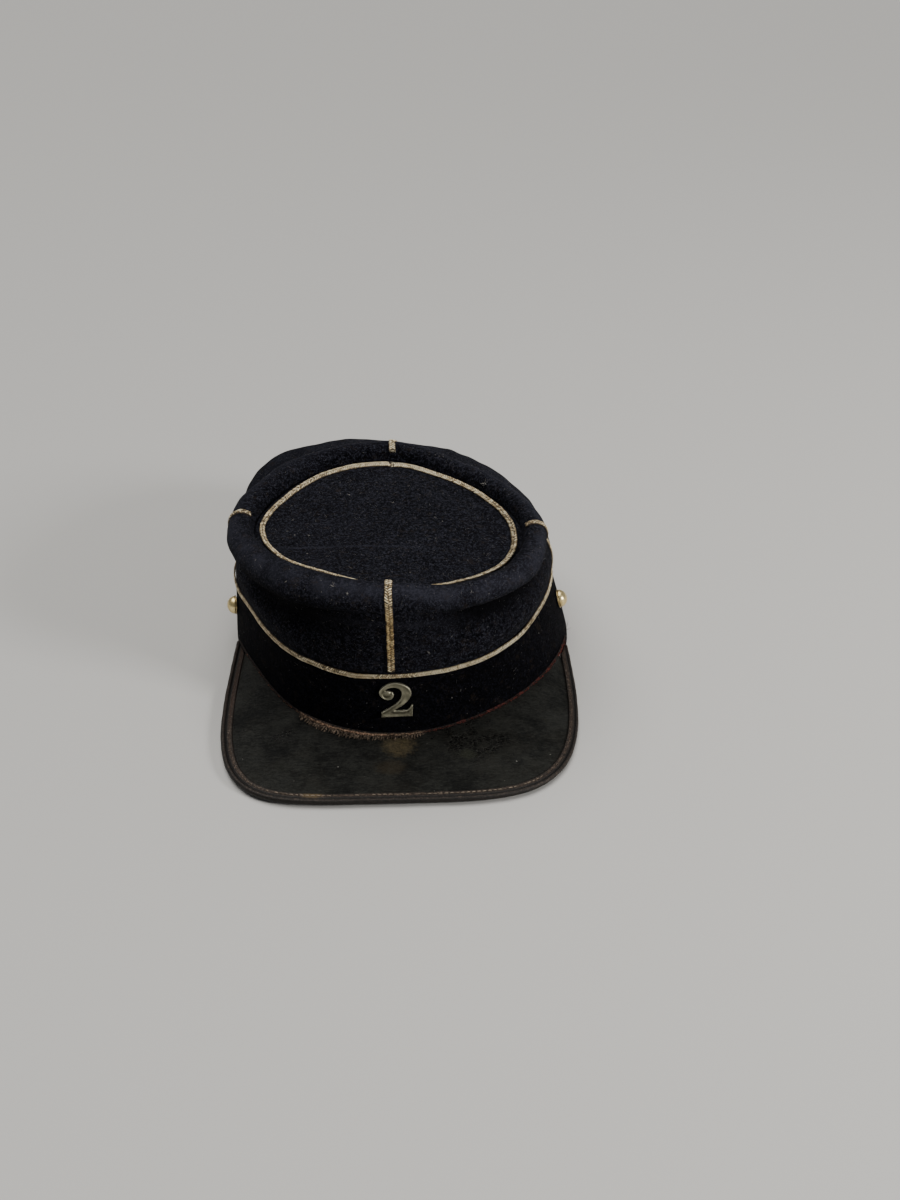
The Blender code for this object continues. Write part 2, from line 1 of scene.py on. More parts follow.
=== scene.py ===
# %% [markdown]
# # An old officer's kepi, piece by piece
#
# A kepi is a cloth cap on a stiff band, with a leather peak and a soft crown that rolls over a
# sunken oval top. This one is old: its braid is tarnished, the peak's seam is torn and the wool is
# full of lint. The shapes are functions of two numbers, worked out with numpy as whole arrays,
# because soft cloth and plaited wire follow rules that are easier to write down than to sculpt. The
# solid model of the cap is loaded first, and the pieces made here take the place of its solids.

# %% Load the solid model
import math

import bpy
import numpy as np
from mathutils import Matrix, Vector


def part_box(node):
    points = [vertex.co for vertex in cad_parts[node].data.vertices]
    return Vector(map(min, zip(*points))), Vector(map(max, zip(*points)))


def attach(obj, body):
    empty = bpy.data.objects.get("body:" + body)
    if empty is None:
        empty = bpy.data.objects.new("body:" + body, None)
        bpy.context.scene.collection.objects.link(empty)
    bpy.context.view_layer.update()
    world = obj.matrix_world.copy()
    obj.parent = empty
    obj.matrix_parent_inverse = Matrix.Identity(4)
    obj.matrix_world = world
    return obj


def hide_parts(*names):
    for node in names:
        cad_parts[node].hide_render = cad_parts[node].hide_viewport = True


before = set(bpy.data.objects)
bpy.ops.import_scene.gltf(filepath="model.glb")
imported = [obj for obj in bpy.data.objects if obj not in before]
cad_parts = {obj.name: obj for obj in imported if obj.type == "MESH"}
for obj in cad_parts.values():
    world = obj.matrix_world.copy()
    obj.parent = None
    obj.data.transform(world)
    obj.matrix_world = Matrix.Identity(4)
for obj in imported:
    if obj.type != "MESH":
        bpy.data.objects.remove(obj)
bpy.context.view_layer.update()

MM = 0.001

# %% [markdown]
# ## The cap's own coordinates
#
# Everything is measured in millimetres from the middle of the rim, with the peak towards -Y, and
# a place round the cap is a turn in degrees: 0 is the right, 90 the back, 180 the left and 270 the
# front. The loaded model has its origin elsewhere, so the shift between the two is read from the
# band's box: the rim is widest at turn 0 and longest at turn 90.

# %% Measures of the cap
BAND_HEIGHT = 35
BAND_WALL = 2.6
CLOTH_WALL = 1.8
GAP = 0.35                # between two pieces that lie on each other
BRAID_WIDTH = 3.4
RING_BRAID_WIDTH = 2.8
MIDDLE_X = -4

# How far each oval reaches from the point (MIDDLE_X, centre_y): left, right, front, back, centre_y.
OVALS = {
    "rim": (80, 88, 100, 98, 0),
    "band_top": (77.5, 78, 96, 94, 0),
    "roll": (72.5, 66.5, 70, 73.5, -30),
    "top_braid": (60.8, 57, 61, 62.5, -30),
}

_, band_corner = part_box("band")
SHIFT = np.array([
    band_corner[0] / MM - MIDDLE_X - OVALS["rim"][1],
    band_corner[1] / MM - OVALS["rim"][3],
    0,
])
print("shift of the cap in the frame, mm:", SHIFT.round(3))

# %% [markdown]
# ## Camera, floor and light
#
# The cap is seen from in front and above, at arm's length, on a plain pale floor. Wool this dark
# shows its form only where a broad light grazes it, so the main light is a very soft sun almost
# overhead, with a small lamp at the front right for the metal's highlights and a dim sky.

# %% Camera
CAMERA_PLACE = np.array([6.6, -498.5, 314])
CAMERA_DOWN = 31
CAMERA_RIGHT = 2
LENS = 34.2
SENSOR = 36

camera_data = bpy.data.cameras.new("camera")
camera_data.lens = LENS
camera_data.sensor_width = SENSOR
camera_data.clip_start = 0.01
camera = bpy.data.objects.new("camera", camera_data)
bpy.context.scene.collection.objects.link(camera)
camera.location = Vector((CAMERA_PLACE + SHIFT) * MM)
camera.rotation_euler = (math.radians(90 - CAMERA_DOWN), 0, math.radians(-CAMERA_RIGHT))
bpy.context.scene.camera = camera
print("camera at", tuple(round(v, 4) for v in camera.location))

# %% Floor, lights and sky
FLOOR_COLOUR = (0.545, 0.535, 0.515)
FLOOR_REACH = 15


def add_light(name, kind, place, power, colour, **settings):
    """A light at a place in metres, turned towards the cap's middle."""
    light = bpy.data.lights.new(name, kind)
    light.energy = power
    light.color = colour
    for setting, value in settings.items():
        setattr(light, setting, value)
    lamp = bpy.data.objects.new(name, light)
    bpy.context.scene.collection.objects.link(lamp)
    lamp.location = place
    towards = Vector((0, 0, 0.05)) - Vector(place)
    lamp.rotation_euler = towards.to_track_quat("-Z", "Y").to_euler()


floor_mesh = bpy.data.meshes.new("floor")
floor_corners = [(x * FLOOR_REACH, y * FLOOR_REACH, 0) for x, y in ((-1, -1), (1, -1), (1, 1), (-1, 1))]
floor_mesh.from_pydata(floor_corners, [], [(0, 1, 2, 3)])
floor = bpy.data.objects.new("floor", floor_mesh)
bpy.context.scene.collection.objects.link(floor)
floor_paint = bpy.data.materials.new("floor_paint")
floor_paint.use_nodes = True
floor_shader = floor_paint.node_tree.nodes["Principled BSDF"]
floor_shader.inputs["Base Color"].default_value = (*FLOOR_COLOUR, 1)
floor_shader.inputs["Roughness"].default_value = 0.9
floor_shader.inputs["Specular IOR Level"].default_value = 0.2
floor_mesh.materials.append(floor_paint)

add_light("soft_sun", "SUN", (-0.25, 0.25, 1.6), 2.75, (1, 0.985, 0.955), angle=math.radians(60))
add_light("front_lamp", "AREA", (1.20, -0.80, 0.65), 17, (1, 0.985, 0.96), shape="SQUARE", size=0.3)
sky = bpy.data.worlds.new("sky")
sky.use_nodes = True
sky.node_tree.nodes["Background"].inputs["Color"].default_value = (0.84, 0.87, 0.92, 1)
sky.node_tree.nodes["Background"].inputs["Strength"].default_value = 0.16
bpy.context.scene.world = sky

# %% [markdown]
# ## From a grid of points to a mesh
#
# A surface of two parameters is a grid of points whose faces join each point to its neighbours; a
# direction that closes on itself joins its last line to its first. The helpers below hand points
# and faces to Blender as whole arrays, with any value that the finish needs later, such as how worn
# the surface is at each point, and make the unevenness that every real surface has.

# %% Grids, normals and meshes


def together(*parts):
    """Arrays spread to one shape and put side by side along a new last axis, as x, y and z are."""
    return np.stack(np.broadcast_arrays(*parts), axis=-1)


def grid_faces(rows, columns, close_rows=False, close_columns=False):
    """Quads of a grid of points: each joins (i, j), (i + 1, j), (i + 1, j + 1) and (i, j + 1)."""
    i = np.arange(rows if close_rows else rows - 1)[:, None]
    j = np.arange(columns if close_columns else columns - 1)[None, :]
    i2, j2 = (i + 1) % rows, (j + 1) % columns
    return together(i * columns + j, i2 * columns + j, i2 * columns + j2, i * columns + j2).reshape(-1, 4)


def unit(vectors):
    """The same directions with length 1."""
    return vectors / np.maximum(np.linalg.norm(vectors, axis=-1, keepdims=True), 1e-9)


def grid_normals(points, close_rows=False):
    """Unit normals: the step along the rows crossed with the step along the columns."""
    if close_rows:
        along_rows = np.roll(points, -1, axis=0) - np.roll(points, 1, axis=0)
    else:
        along_rows = np.gradient(points, axis=0)
    return unit(np.cross(along_rows, np.gradient(points, axis=1)))


def pole_fans(rows, columns, first_pole, last_pole):
    """Triangles that close the first and the last column of a grid with a point each."""
    here = np.arange(rows)
    there = (here + 1) % rows
    first = together(there * columns, here * columns, first_pole)
    last = together(here * columns + columns - 1, there * columns + columns - 1, last_pole)
    return np.concatenate([first, last])


def signed_volume(points, faces):
    """Volume inside closed faces: the sum of the tetrahedra that fans of each face make with 0."""
    total = 0
    for block in faces:
        for k in range(1, block.shape[1] - 1):
            a, b, c = points[block[:, 0]], points[block[:, k]], points[block[:, k + 1]]
            total += np.einsum("ij,ij->", a, np.cross(b, c)) / 6
    return total


def make_piece(name, points, faces, node, values=None):
    """A smooth mesh object from a grid of points in millimetres, in the place of a solid node.

    `faces` is a list of arrays of corner numbers, one array for each number of corners, and
    `values` holds arrays that are spread over the grid under their names. Faces of a closed shape
    that point in are turned round.
    """
    grid, points = points.shape[:-1], points.reshape(-1, 3)
    if signed_volume(points, faces) < 0:
        faces = [block[:, ::-1] for block in faces]
    corners = np.concatenate([block.ravel() for block in faces])
    totals = np.concatenate([np.full(len(block), block.shape[1]) for block in faces])
    mesh = bpy.data.meshes.new(name)
    mesh.vertices.add(len(points))
    mesh.vertices.foreach_set("co", ((points + SHIFT) * MM).ravel())
    mesh.loops.add(len(corners))
    mesh.loops.foreach_set("vertex_index", corners.astype(np.int32))
    mesh.polygons.add(len(totals))
    mesh.polygons.foreach_set("loop_start", (np.cumsum(totals) - totals).astype(np.int32))
    mesh.polygons.foreach_set("loop_total", totals.astype(np.int32))
    mesh.update(calc_edges=True)
    mesh.validate()
    mesh.shade_smooth()
    for key, numbers in (values or {}).items():
        layer = mesh.attributes.new(key, "FLOAT", "POINT")
        layer.data.foreach_set("value", np.broadcast_to(numbers, grid).astype(np.float32).ravel())
    piece = bpy.data.objects.new(name, mesh)
    bpy.context.scene.collection.objects.link(piece)
    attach(piece, "root")
    nodes = (node,) if isinstance(node, str) else node
    if nodes:
        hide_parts(*nodes)
    print(f"{name}: {len(points)} points, {int((totals - 2).sum())} triangles")


print("mesh helpers ready")

# %% Unevenness


def ripples(turn, along, seed, waves_round, waves_along, count=24):
    """Soft unevenness from about -1 to 1: a sum of cosines with whole numbers of waves round the
    cap, so that it closes on itself, with random waves along the other direction."""
    rng = np.random.default_rng(seed)
    total = 0
    for _ in range(count):
        around = rng.integers(waves_round[0], waves_round[1] + 1)
        phase = rng.uniform(0, 2 * math.pi)
        total = total + np.cos(np.radians(turn) * around + along * rng.uniform(-1, 1) * waves_along + phase)
    return total * math.sqrt(2 / count) / 2


def smooth_step(value, low, high):
    """0 below `low`, 1 above `high`, and an S-curve between them."""
    t = np.clip((value - low) / (high - low), 0, 1)
    return t * t * (3 - 2 * t)


def plateau(value, low, first, last, high):
    """1 from `first` to `last`, and S-curves down to 0 at `low` and `high`."""
    return smooth_step(value, low, first) * (1 - smooth_step(value, last, high))


def bell(value, middle, width):
    """A bell curve: 1 at the middle, and e to the minus square of the distance in widths."""
    return np.exp(-((value - middle) / width) ** 2)


print("unevenness helpers ready")

# %% [markdown]
# ## The plan of the cap
#
# A hatter shapes the band on a wooden block whose plan is an egg-like oval. Here each quarter of
# an oval is a quarter of an ellipse with its own reach to the left, right, front and back. The
# hand-made irregularity lies in tables with a value every 30 degrees from turn 0: a smooth cubic
# runs through the values, so a few numbers describe the whole slouched form.

# %% Ovals and tables


def oval(name, turn):
    """Plan points of an oval: reach across times the cosine of the turn, reach along times its sine."""
    left, right, front, back, centre_y = OVALS[name]
    across, along = np.cos(np.radians(turn)), np.sin(np.radians(turn))
    x = MIDDLE_X + np.where(across > 0, right, left) * across
    y = centre_y + np.where(along > 0, back, front) * along
    return together(x, y)


def plan_outward(line, turn, step=0.5):
    """Unit plan vectors square to a closed line: its tangent turned a quarter clockwise."""
    ahead = line(turn + step) - line(turn - step)
    return unit(together(ahead[..., 1], -ahead[..., 0]))


def oval_outward(name, turn):
    """The outward direction of a named oval."""
    return plan_outward(lambda place: oval(name, place), turn)


def table_values(table, turn):
    """A table's values at any turn: the cubic between two rows whose slope at each row is that of
    the straight line between its neighbours."""
    rows = np.array(list(table.values()), float).T
    place = np.asarray(turn, float) / (360 / len(rows))
    index = np.floor(place).astype(int)
    part = (place - index)[..., None]
    before, here, after, beyond = (rows[(index + k) % len(rows)] for k in (-1, 0, 1, 2))
    found = here + 0.5 * part * (
        after - before
        + part * (2 * before - 5 * here + 4 * after - beyond
                  + part * (3 * (here - after) + beyond - before))
    )
    return dict(zip(table, np.moveaxis(found, -1, 0)))


def lifted(plan, up):
    """Plan points given a height."""
    return together(plan[..., 0], plan[..., 1], up)


# How far the band stands out from its ovals, how high the peak's leather meets it, and how much
# further out the band is at its top.
BAND_TURNS = {
    "band_out": (0, 0, 0, 0, 0, 0.3, 1, -4.3, -1.2, 0, -0.4, 0),
    "peak_up": (4, 4, 4, 4, 4, 4, 5, 7, 6.2, 5.8, 7.4, 7.2),
    "top_out": (0, 0, 0, 0, 0, 0, 0, 0, 0, 0, 0.8, -1.5),
}


def band_values(turn):
    return table_values(BAND_TURNS, turn)


def band_point(turn, up, out=0):
    """A point of the band's outer face: the rim's oval blended evenly into the top's by height."""
    turn, up, out = np.broadcast_arrays(np.asarray(turn, float), up, out)
    share = np.clip(up / BAND_HEIGHT, 0, 1)[..., None]
    plan = (1 - share) * oval("rim", turn) + share * oval("band_top", turn)
    outward = (1 - share) * oval_outward("rim", turn) + share * oval_outward("band_top", turn)
    at = band_values(turn)
    reach = out + at["band_out"] + share[..., 0] ** 2 * at["top_out"]
    return lifted(plan + reach[..., None] * outward, up)


print("band girth at the rim, mm:", round(float(np.linalg.norm(
    np.diff(band_point(np.arange(361), 0), axis=0), axis=-1).sum())))

# %% [markdown]
# ## The crown's profile
#
# Above the band the cloth bulges, leans back to a shoulder, dips into a crease and rolls over into
# the groove round the top. At each turn the profile is a smooth curve through eleven key points:
# five up the wall, and six on the arc of the roll. The table says where they lie.

# %% Table of the crown
CROWN_TURNS = {
    "bulge_out": (-0.5, -1.5, -3.5, -3, -1, 0.8, -1.5, 1.5, 0.5, 2.8, 1, 1),
    "bulge_up": (47, 48, 49, 50, 51, 49, 47, 45, 46, 50, 45, 43),
    "shoulder_out": (-5.4, -8, -10.5, -11.5, -4.5, 0.7, -4.5, -2.5, -2.5, 6.2, -1, -2.5),
    "shoulder_up": (58, 60, 64, 65.5, 68.5, 68.3, 57, 52, 55, 62, 55, 52),
    "puff": (0.5, 1.2, 2.5, 3.5, 2.5, 1.5, 0, 0, 0, 0, 0, 0),
    "roll_out": (-1.5, -6.3, -8.3, -1, -1, -3, -3.5, -5.2, -2.3, 0, 0.5, 1),
    "roll_up": (71.5, 72.3, 74.6, 76.5, 76, 74, 72.8, 73, 75.2, 75.6, 71.8, 70.4),
    "roll_radius": (5.4, 5.6, 6.2, 6.8, 7, 7, 6.2, 7, 7.6, 6.8, 5.5, 5.9),
    "tuck": (-25, -30, -30, -25, -25, -35, -50, -28, -38, -20, -60, -65),
    "crease_in": (2, 1, 1.5, 1, 1.5, 2, 2, 8, 8.5, 0, 8, 9.3),
    "braid_out": (-1.9, -6.2, -8.2, -4.7, -2.7, -4, -1.8, -3.7, -4.7, -0.2, -0.7, 2),
    "top_drop": (0, 0, 0, 0, 0, 0, 0, 0, 0, 0.7, 0.5, 0),
}
CREASE_DROP = 1.5
ARC_KEYS = 6
CREASE_PLACE = 4
CROWN_LAST = CREASE_PLACE + ARC_KEYS


def crown_values(turn):
    return table_values(CROWN_TURNS, turn)


print("crown's table:", len(CROWN_TURNS), "measures of its profile")

# %% Crown surface


def crown_keys(turn):
    """The eleven key points at each turn, from the band's top to the groove: wall points stand out
    from the band's top oval, roll points lie on an arc about the roll's oval."""
    at = crown_values(turn)
    wall, wall_out = band_point(turn, BAND_HEIGHT)[..., :2], oval_outward("band_top", turn)
    roll, roll_out = oval("roll", turn), oval_outward("roll", turn)
    start = np.radians(at["tuck"])

    def on_wall(out, up):
        return lifted(wall + np.asarray(out)[..., None] * wall_out, up)

    def on_roll(angle, inward=0, lower=0):
        reach = at["roll_out"] + at["roll_radius"] * np.cos(angle) - inward
        return lifted(roll + reach[..., None] * roll_out,
                      at["roll_up"] + at["roll_radius"] * np.sin(angle) - lower)

    shoulder = on_wall(at["shoulder_out"], at["shoulder_up"])
    crease = on_roll(start, at["crease_in"], CREASE_DROP)
    halfway = (shoulder + crease) / 2
    halfway[..., 2] += at["puff"]
    foot = on_wall(np.zeros_like(start), BAND_HEIGHT + 1.5 * GAP)
    keys = [foot, on_wall(at["bulge_out"], at["bulge_up"]), shoulder, halfway, crease]
    keys += [on_roll(start + share * (math.pi - start)) for share in np.linspace(0, 1, ARC_KEYS)]
    return np.stack(keys, axis=-2)


def spline(keys, place):
    """Points on a smooth curve through key points, at places counted in keys: a cubic joins each
    key to the next, and its slope at a key is that of the parabola through three keys."""
    span = np.linalg.norm(np.diff(keys, axis=-2), axis=-1)[..., None]
    rate = np.diff(keys, axis=-2) / span
    inner = rate[..., :-1, :] * span[..., 1:, :] + rate[..., 1:, :] * span[..., :-1, :]
    inner = inner / (span[..., 1:, :] + span[..., :-1, :])
    slope = np.concatenate([rate[..., :1, :], inner, rate[..., -1:, :]], axis=-2)
    index = np.clip(np.floor(place).astype(int), 0, keys.shape[-2] - 2)
    t = (place - index)[:, None]
    length = span[..., index, :]
    return (
        (2 * t**3 - 3 * t**2 + 1) * keys[..., index, :]
        + (t**3 - 2 * t**2 + t) * length * slope[..., index, :]
        + (3 * t**2 - 2 * t**3) * keys[..., index + 1, :]
        + (t**3 - t**2) * length * slope[..., index + 1, :]
    )


def crown_form(turn, place):
    """Grid of points of the crown without its small folds: a row for each turn, a column for each
    place along the profile."""
    return spline(crown_keys(np.atleast_1d(np.asarray(turn, float))), np.asarray(place, float))


def crown_outward(turn, place):
    """Unit normals of the crown: a small step round it crossed with a small step up it."""
    around = crown_form(turn + 0.5, place) - crown_form(turn - 0.5, place)
    above = np.minimum(place + 0.05, CROWN_LAST)
    below = np.maximum(place - 0.05, 0)
    return unit(np.cross(around, crown_form(turn, above) - crown_form(turn, below)))


def crown_skin(turn, place):
    """The crown with its soft folds: its form moved along its normals by slow ripples, that fade
    out at the band and in the groove."""
    rows = np.atleast_1d(turn)[:, None]
    slow = 0.34 * ripples(rows, place, 11, (4, 15), 1.3)
    quick = 0.12 * ripples(rows, place, 12, (18, 44), 3.5)
    folds = plateau(place, 0, 0.8, 8.6, 9.8) * (slow + quick)
    return crown_form(turn, place) + folds[..., None] * crown_outward(turn, place)


roll_up = crown_form(np.arange(0, 360, 5), np.linspace(CREASE_PLACE, CROWN_LAST, 40))[..., 2]
print("crown's roll is", round(float(roll_up.max()), 1), "mm up")

# %% [markdown]
# ## Cloth with a thickness
#
# Cloth could get its wall from a Solidify modifier. Here the inner face is worked out as well, so
# that both edges can be rounded like a cut edge of thick wool: the section goes out over the
# outer face, round a half circle, back along the inner face and round again.

# %% A wall from a skin


def half_round(edge, outward, inward_normal, wall, steps=4):
    """Points of the half circle that joins the outer face to the inner one at an edge: the middle
    of the wall plus half a wall times cosine along the normal and sine along `outward`."""
    angle = np.linspace(0, math.pi, steps + 2)[1:-1][None, :, None]
    middle = (edge + inward_normal * wall / 2)[:, None, :]
    ring = np.cos(angle) * -inward_normal[:, None, :] + np.sin(angle) * outward[:, None, :] * 0.7
    return middle + ring * wall / 2


def wall_section(outer, wall, every=3):
    """Closed sections of a cloth wall: the outer face, a rounded edge, the inner face, which is
    every third line of the outer one moved back by the wall along its normals, and a rounded edge
    again."""
    normals = grid_normals(outer, close_rows=True)
    columns = outer.shape[1]
    kept = np.unique(np.concatenate([np.arange(0, columns, every), [columns - 1]]))
    inner = (outer - wall * normals)[:, kept][:, ::-1]
    far = half_round(outer[:, -1], unit(outer[:, -1] - outer[:, -2]), -normals[:, -1], wall)
    near = half_round(outer[:, 0], unit(outer[:, 0] - outer[:, 1]), -normals[:, 0], wall)[:, ::-1]
    return np.concatenate([outer, far, inner, near], axis=1)


print("wall helper ready")

# %% [markdown]
# ## The band
#
# The band is wool stretched over a stiff strip, so it is the tautest part of the cap: its face is
# smooth but never quite flat. Its section is a box with rounded corners, carried round the oval,
# and the outer side has many points so that it can ripple a little.

# %% Band cloth
ROWS = 480
turns = np.arange(ROWS) * 360 / ROWS


def rounded_box(width, height, radius, outer_steps, inner_steps):
    """Section of a wall as (out, up) rows, from 0 inwards to -width: at each corner a quarter
    circle, radius times cosine and sine about its centre, with straight sides between."""
    quarter = math.pi / 2
    angle = np.linspace(0, quarter, 5)
    centres = [(-radius, height - radius), (radius - width, height - radius),
               (radius - width, radius), (-radius, radius)]
    arcs = [
        together(x + radius * np.cos(angle + k * quarter), y + radius * np.sin(angle + k * quarter))
        for k, (x, y) in enumerate(centres)
    ]
    rising = np.linspace(radius, height - radius, outer_steps + 2)[1:-1]
    falling = np.linspace(height - radius, radius, inner_steps + 2)[1:-1]
    return np.concatenate([together(0, rising), *arcs[:2], together(-width, falling), *arcs[2:]])


def make_band():
    """The rounded box carried round the band; only its face is rippled, and the ripples die out
    at the rim and under the ring of braid."""
    out, up = rounded_box(BAND_WALL, BAND_HEIGHT, radius=0.9, outer_steps=24, inner_steps=8).T
    on_face = plateau(up, 0.5, 6, 27, 32) * (out > -0.01)
    slow = 0.16 * ripples(turns[:, None], up[None, :] * 0.1, 21, (5, 18), 1.5)
    quick = 0.05 * ripples(turns[:, None], up[None, :] * 0.1, 22, (25, 60), 6)
    points = band_point(turns[:, None], up[None, :], out[None, :] + on_face * (slow + quick))
    faces = grid_faces(ROWS, len(up), close_rows=True, close_columns=True)
    worn = bell(up, 1.2, 1.5) * (out > -1)
    make_piece("band_cloth", points, [faces], "band", {"worn": worn})


make_band()

# %% [markdown]
# ## The crown
#
# The crown is one length of soft wool. It could be sculpted or simulated, but its slouch is known
# from the table, so the skin is computed from it and small folds are added as ripples. Wool wears
# pale where it is rubbed, on the top of the roll and along the shoulder, so each point stores how
# worn it is. Deep in the crease under the roll the wool is painted almost black as shade, so each
# point also stores how deep in the fold it is.

# %% Crown cloth


def make_crown():
    """The crown's skin given a wall; worn is two bell curves of the place along the profile, and
    fold_shade is painted shade that follows the crease's depth between the wall and the roll."""
    wall_places = np.linspace(0.01, CREASE_PLACE, 44)
    roll_places = np.linspace(CREASE_PLACE, CROWN_LAST, 72)[1:]
    place = np.concatenate([wall_places, roll_places])
    section = wall_section(crown_skin(turns, place), CLOTH_WALL)
    columns = section.shape[1]
    paler = bell(place, 7, 0.9) + 0.6 * bell(place, 2.6, 0.35)
    worn = np.zeros((ROWS, columns))
    worn[:, :len(place)] = paler
    worn *= 0.75 + 0.35 * ripples(turns[:, None], np.arange(columns)[None, :] * 0.05, 31, (3, 40), 4)
    # Painted shade: the wool is darkened in the crease under the roll, by how deep the crease is.
    fold_shade = np.zeros((ROWS, columns))
    deep = np.clip(crown_values(turns)["crease_in"] / 8, 0, 1)[:, None]
    fold_shade[:, :len(place)] = deep * plateau(place, 1.1, 2.5, 4.8, 5.9)
    faces = grid_faces(ROWS, columns, close_rows=True, close_columns=True)
    values = {"worn": np.clip(worn, 0, 1), "fold_shade": fold_shade}
    make_piece("crown_cloth", section, [faces], "crown", values)


make_crown()

# %% [markdown]
# ## The sunken top
#
# The top is a flat oval of the same wool, sewn in at the bottom of the roll's groove. It is a disc
# in rings: straight lines run from the middle to the oval braid and on to the edge. The cloth puffs
# up a little between its seam and the braid, and an old fold has left a faint line across it.

# %% Shape of the top
TOP_RISE = -0.5           # the seam's height over the roll's middle line
TOP_PUFF = 1.2            # how far the cloth falls from the braid to the seam
TOP_MIDDLE_UP = 73.5
FOLD_Y = -51.5            # the pressed line across the top
FOLD_LEFT, FOLD_RIGHT, FOLD_FADE = -56, 14, 8


def top_lines(turn):
    """Plan points of the top at each turn: its middle, its braid's middle line and its edge."""
    middle = np.array([MIDDLE_X, OVALS["top_braid"][4]])
    reach = crown_values(turn)["braid_out"][..., None]
    braid = oval("top_braid", turn) + reach * oval_outward("top_braid", turn)
    groove = crown_form(turn, [float(CROWN_LAST)])[..., 0, :2].reshape(braid.shape)
    return middle, braid, groove - GAP * oval_outward("roll", turn)


def top_form(turn, share):
    """A point of the top at a share of the way from its middle (0) over the braid (1) to its edge
    (2). Its height is that of the middle plus the share squared up to the braid, and then falls
    by the puff times the rest squared."""
    turn, share = np.broadcast_arrays(np.asarray(turn, float), share)
    middle, braid, edge = top_lines(turn.ravel())
    inner = np.minimum(share, 1).reshape(-1, 1)
    outer = np.maximum(share - 1, 0).reshape(-1, 1)
    plan = middle + inner * (braid - middle) + outer * (edge - braid)
    over_braid = crown_values(turn)["roll_up"] - crown_values(turn)["top_drop"] + TOP_RISE + TOP_PUFF
    up = TOP_MIDDLE_UP + (over_braid - TOP_MIDDLE_UP) * np.minimum(share, 1) ** 2
    up = up - TOP_PUFF * np.maximum(share - 1, 0) ** 2
    return lifted(plan.reshape(*turn.shape, 2), up)


def cockle(x, y, seed, wavelengths, size, last_phase=2 * math.pi):
    """Waves on a sheet: cosines in random directions, each with a height in proportion to its
    wavelength."""
    rng = np.random.default_rng(seed)
    total = 0
    for wavelength in wavelengths:
        heading = rng.uniform(0, math.pi)
        across = (x * math.cos(heading) + y * math.sin(heading)) * 2 * math.pi / wavelength
        total = total + wavelength * np.cos(across + rng.uniform(0, last_phase))
    return total * size / sum(wavelengths)


def fold_share(x):
    """1 along the pressed line and 0 beyond its ends, where it fades."""
    return plateau(x, FOLD_LEFT, FOLD_LEFT + FOLD_FADE, FOLD_RIGHT - FOLD_FADE, FOLD_RIGHT)


def top_skin(turn, share):
    """The top with its unevenness: slow waves over its plan, and the pressed line, a low ridge
    whose height is a bell curve of the distance from it."""
    points = top_form(turn, share)
    x, y = points[..., 0], points[..., 1]
    uneven = cockle(x, y, 41, (55, 41, 33, 24, 17, 12), 0.315, last_phase=6)
    line = FOLD_Y + 0.4 * np.sin(x / 9)
    ridge = 0.16 * fold_share(x) * bell(y, line, 0.5)
    calm = 1 - smooth_step(np.broadcast_to(share, x.shape), 0.86, 1)
    points[..., 2] += calm * (uneven + ridge)
    return points


print("top's braid is", round(float(top_form(270, 1)[2]), 1), "mm up at the front")

# %% Top cloth


def make_top():
    """Two skins a wall apart, each closed by a point in the middle, joined at the rounded edge."""
    shares = np.concatenate([np.linspace(2, 1, 14), np.linspace(1, 0, 52)[1:-1]])
    skin = top_skin(turns[:, None], shares[None, :])
    under = top_form(turns[:, None], shares[None, ::4]) - [0, 0, CLOTH_WALL]
    outward = lifted(oval_outward("roll", turns), 0)
    down = np.broadcast_to([0, 0, -1], outward.shape)
    edge = half_round(skin[:, 0], outward, down, CLOTH_WALL)[:, ::-1]
    section = np.concatenate([under[:, ::-1], edge, skin], axis=1)
    columns = section.shape[1]
    middle = np.array([[MIDDLE_X, OVALS["top_braid"][4], skin[:, -1, 2].mean()]])
    points = np.concatenate([section.reshape(-1, 3), middle - [0, 0, CLOTH_WALL], middle])
    fans = pole_fans(ROWS, columns, ROWS * columns, ROWS * columns + 1)
    faces = [grid_faces(ROWS, columns, close_rows=True), fans]
    worn = 0.8 * bell(points[:, 1], FOLD_Y, 0.7) * fold_share(points[:, 0])
    make_piece("top_cloth", points, faces, "crown_top", {"worn": worn})


make_top()

# %% [markdown]
# ## Plaited metal braid
#
# The braid is plaited from thread wound with thin metal: two ribs side by side, whose strands
# slant like the barbs of a feather and dive into a groove in the middle. An image could fake that,
# but the glitter comes from real round strands, so each one is a short curved tube. The strands
# are worked out as arrays in the braid's own flat coordinates (along it, across it and up from the
# cloth), and the plait is then laid on the cloth by the directions stored along its path.

# %% A plait laid along a path
STRAND_PITCH = 1.06       # from one strand of a rib to the next
STRAND_SLANT = 0.95       # how far a strand runs along the braid while it crosses its rib
STRAND_STEPS = 6
STRAND_SIDES = 5
WIRE_RADIUS = 0.165       # each strand is two wires side by side
PLAIT_BASE = 0.38         # thickness of the dark core under the strands
PLAIT_CREST = 0.42        # how far the strands arch above it


def path_lengths(points):
    """Distance along a row of points, from 0."""
    return np.concatenate([[0], np.cumsum(np.linalg.norm(np.diff(points, axis=0), axis=-1))])


def laid_on(path, local, closed):
    """Points given as (along, across, up) moved onto a path: its middle line at that length, plus
    `across` times its crosswise direction, plus `up` times its outward direction."""
    middle, crosswise, outward = path
    table = np.concatenate([middle, crosswise, outward], axis=-1)
    if closed:
        table = np.concatenate([table, table[:1]])
    length = path_lengths(table[:, :3])
    place = local[..., 0] % length[-1] if closed else local[..., 0]
    found = np.stack([np.interp(place, length, column) for column in table.T], axis=-1)
    sideways, up = unit(found[..., 3:6]), unit(found[..., 6:9])
    return found[..., :3] + local[..., 1:2] * sideways + local[..., 2:3] * up


print("a strand crosses the braid every", STRAND_PITCH, "mm")

# %% Tubes and hairs


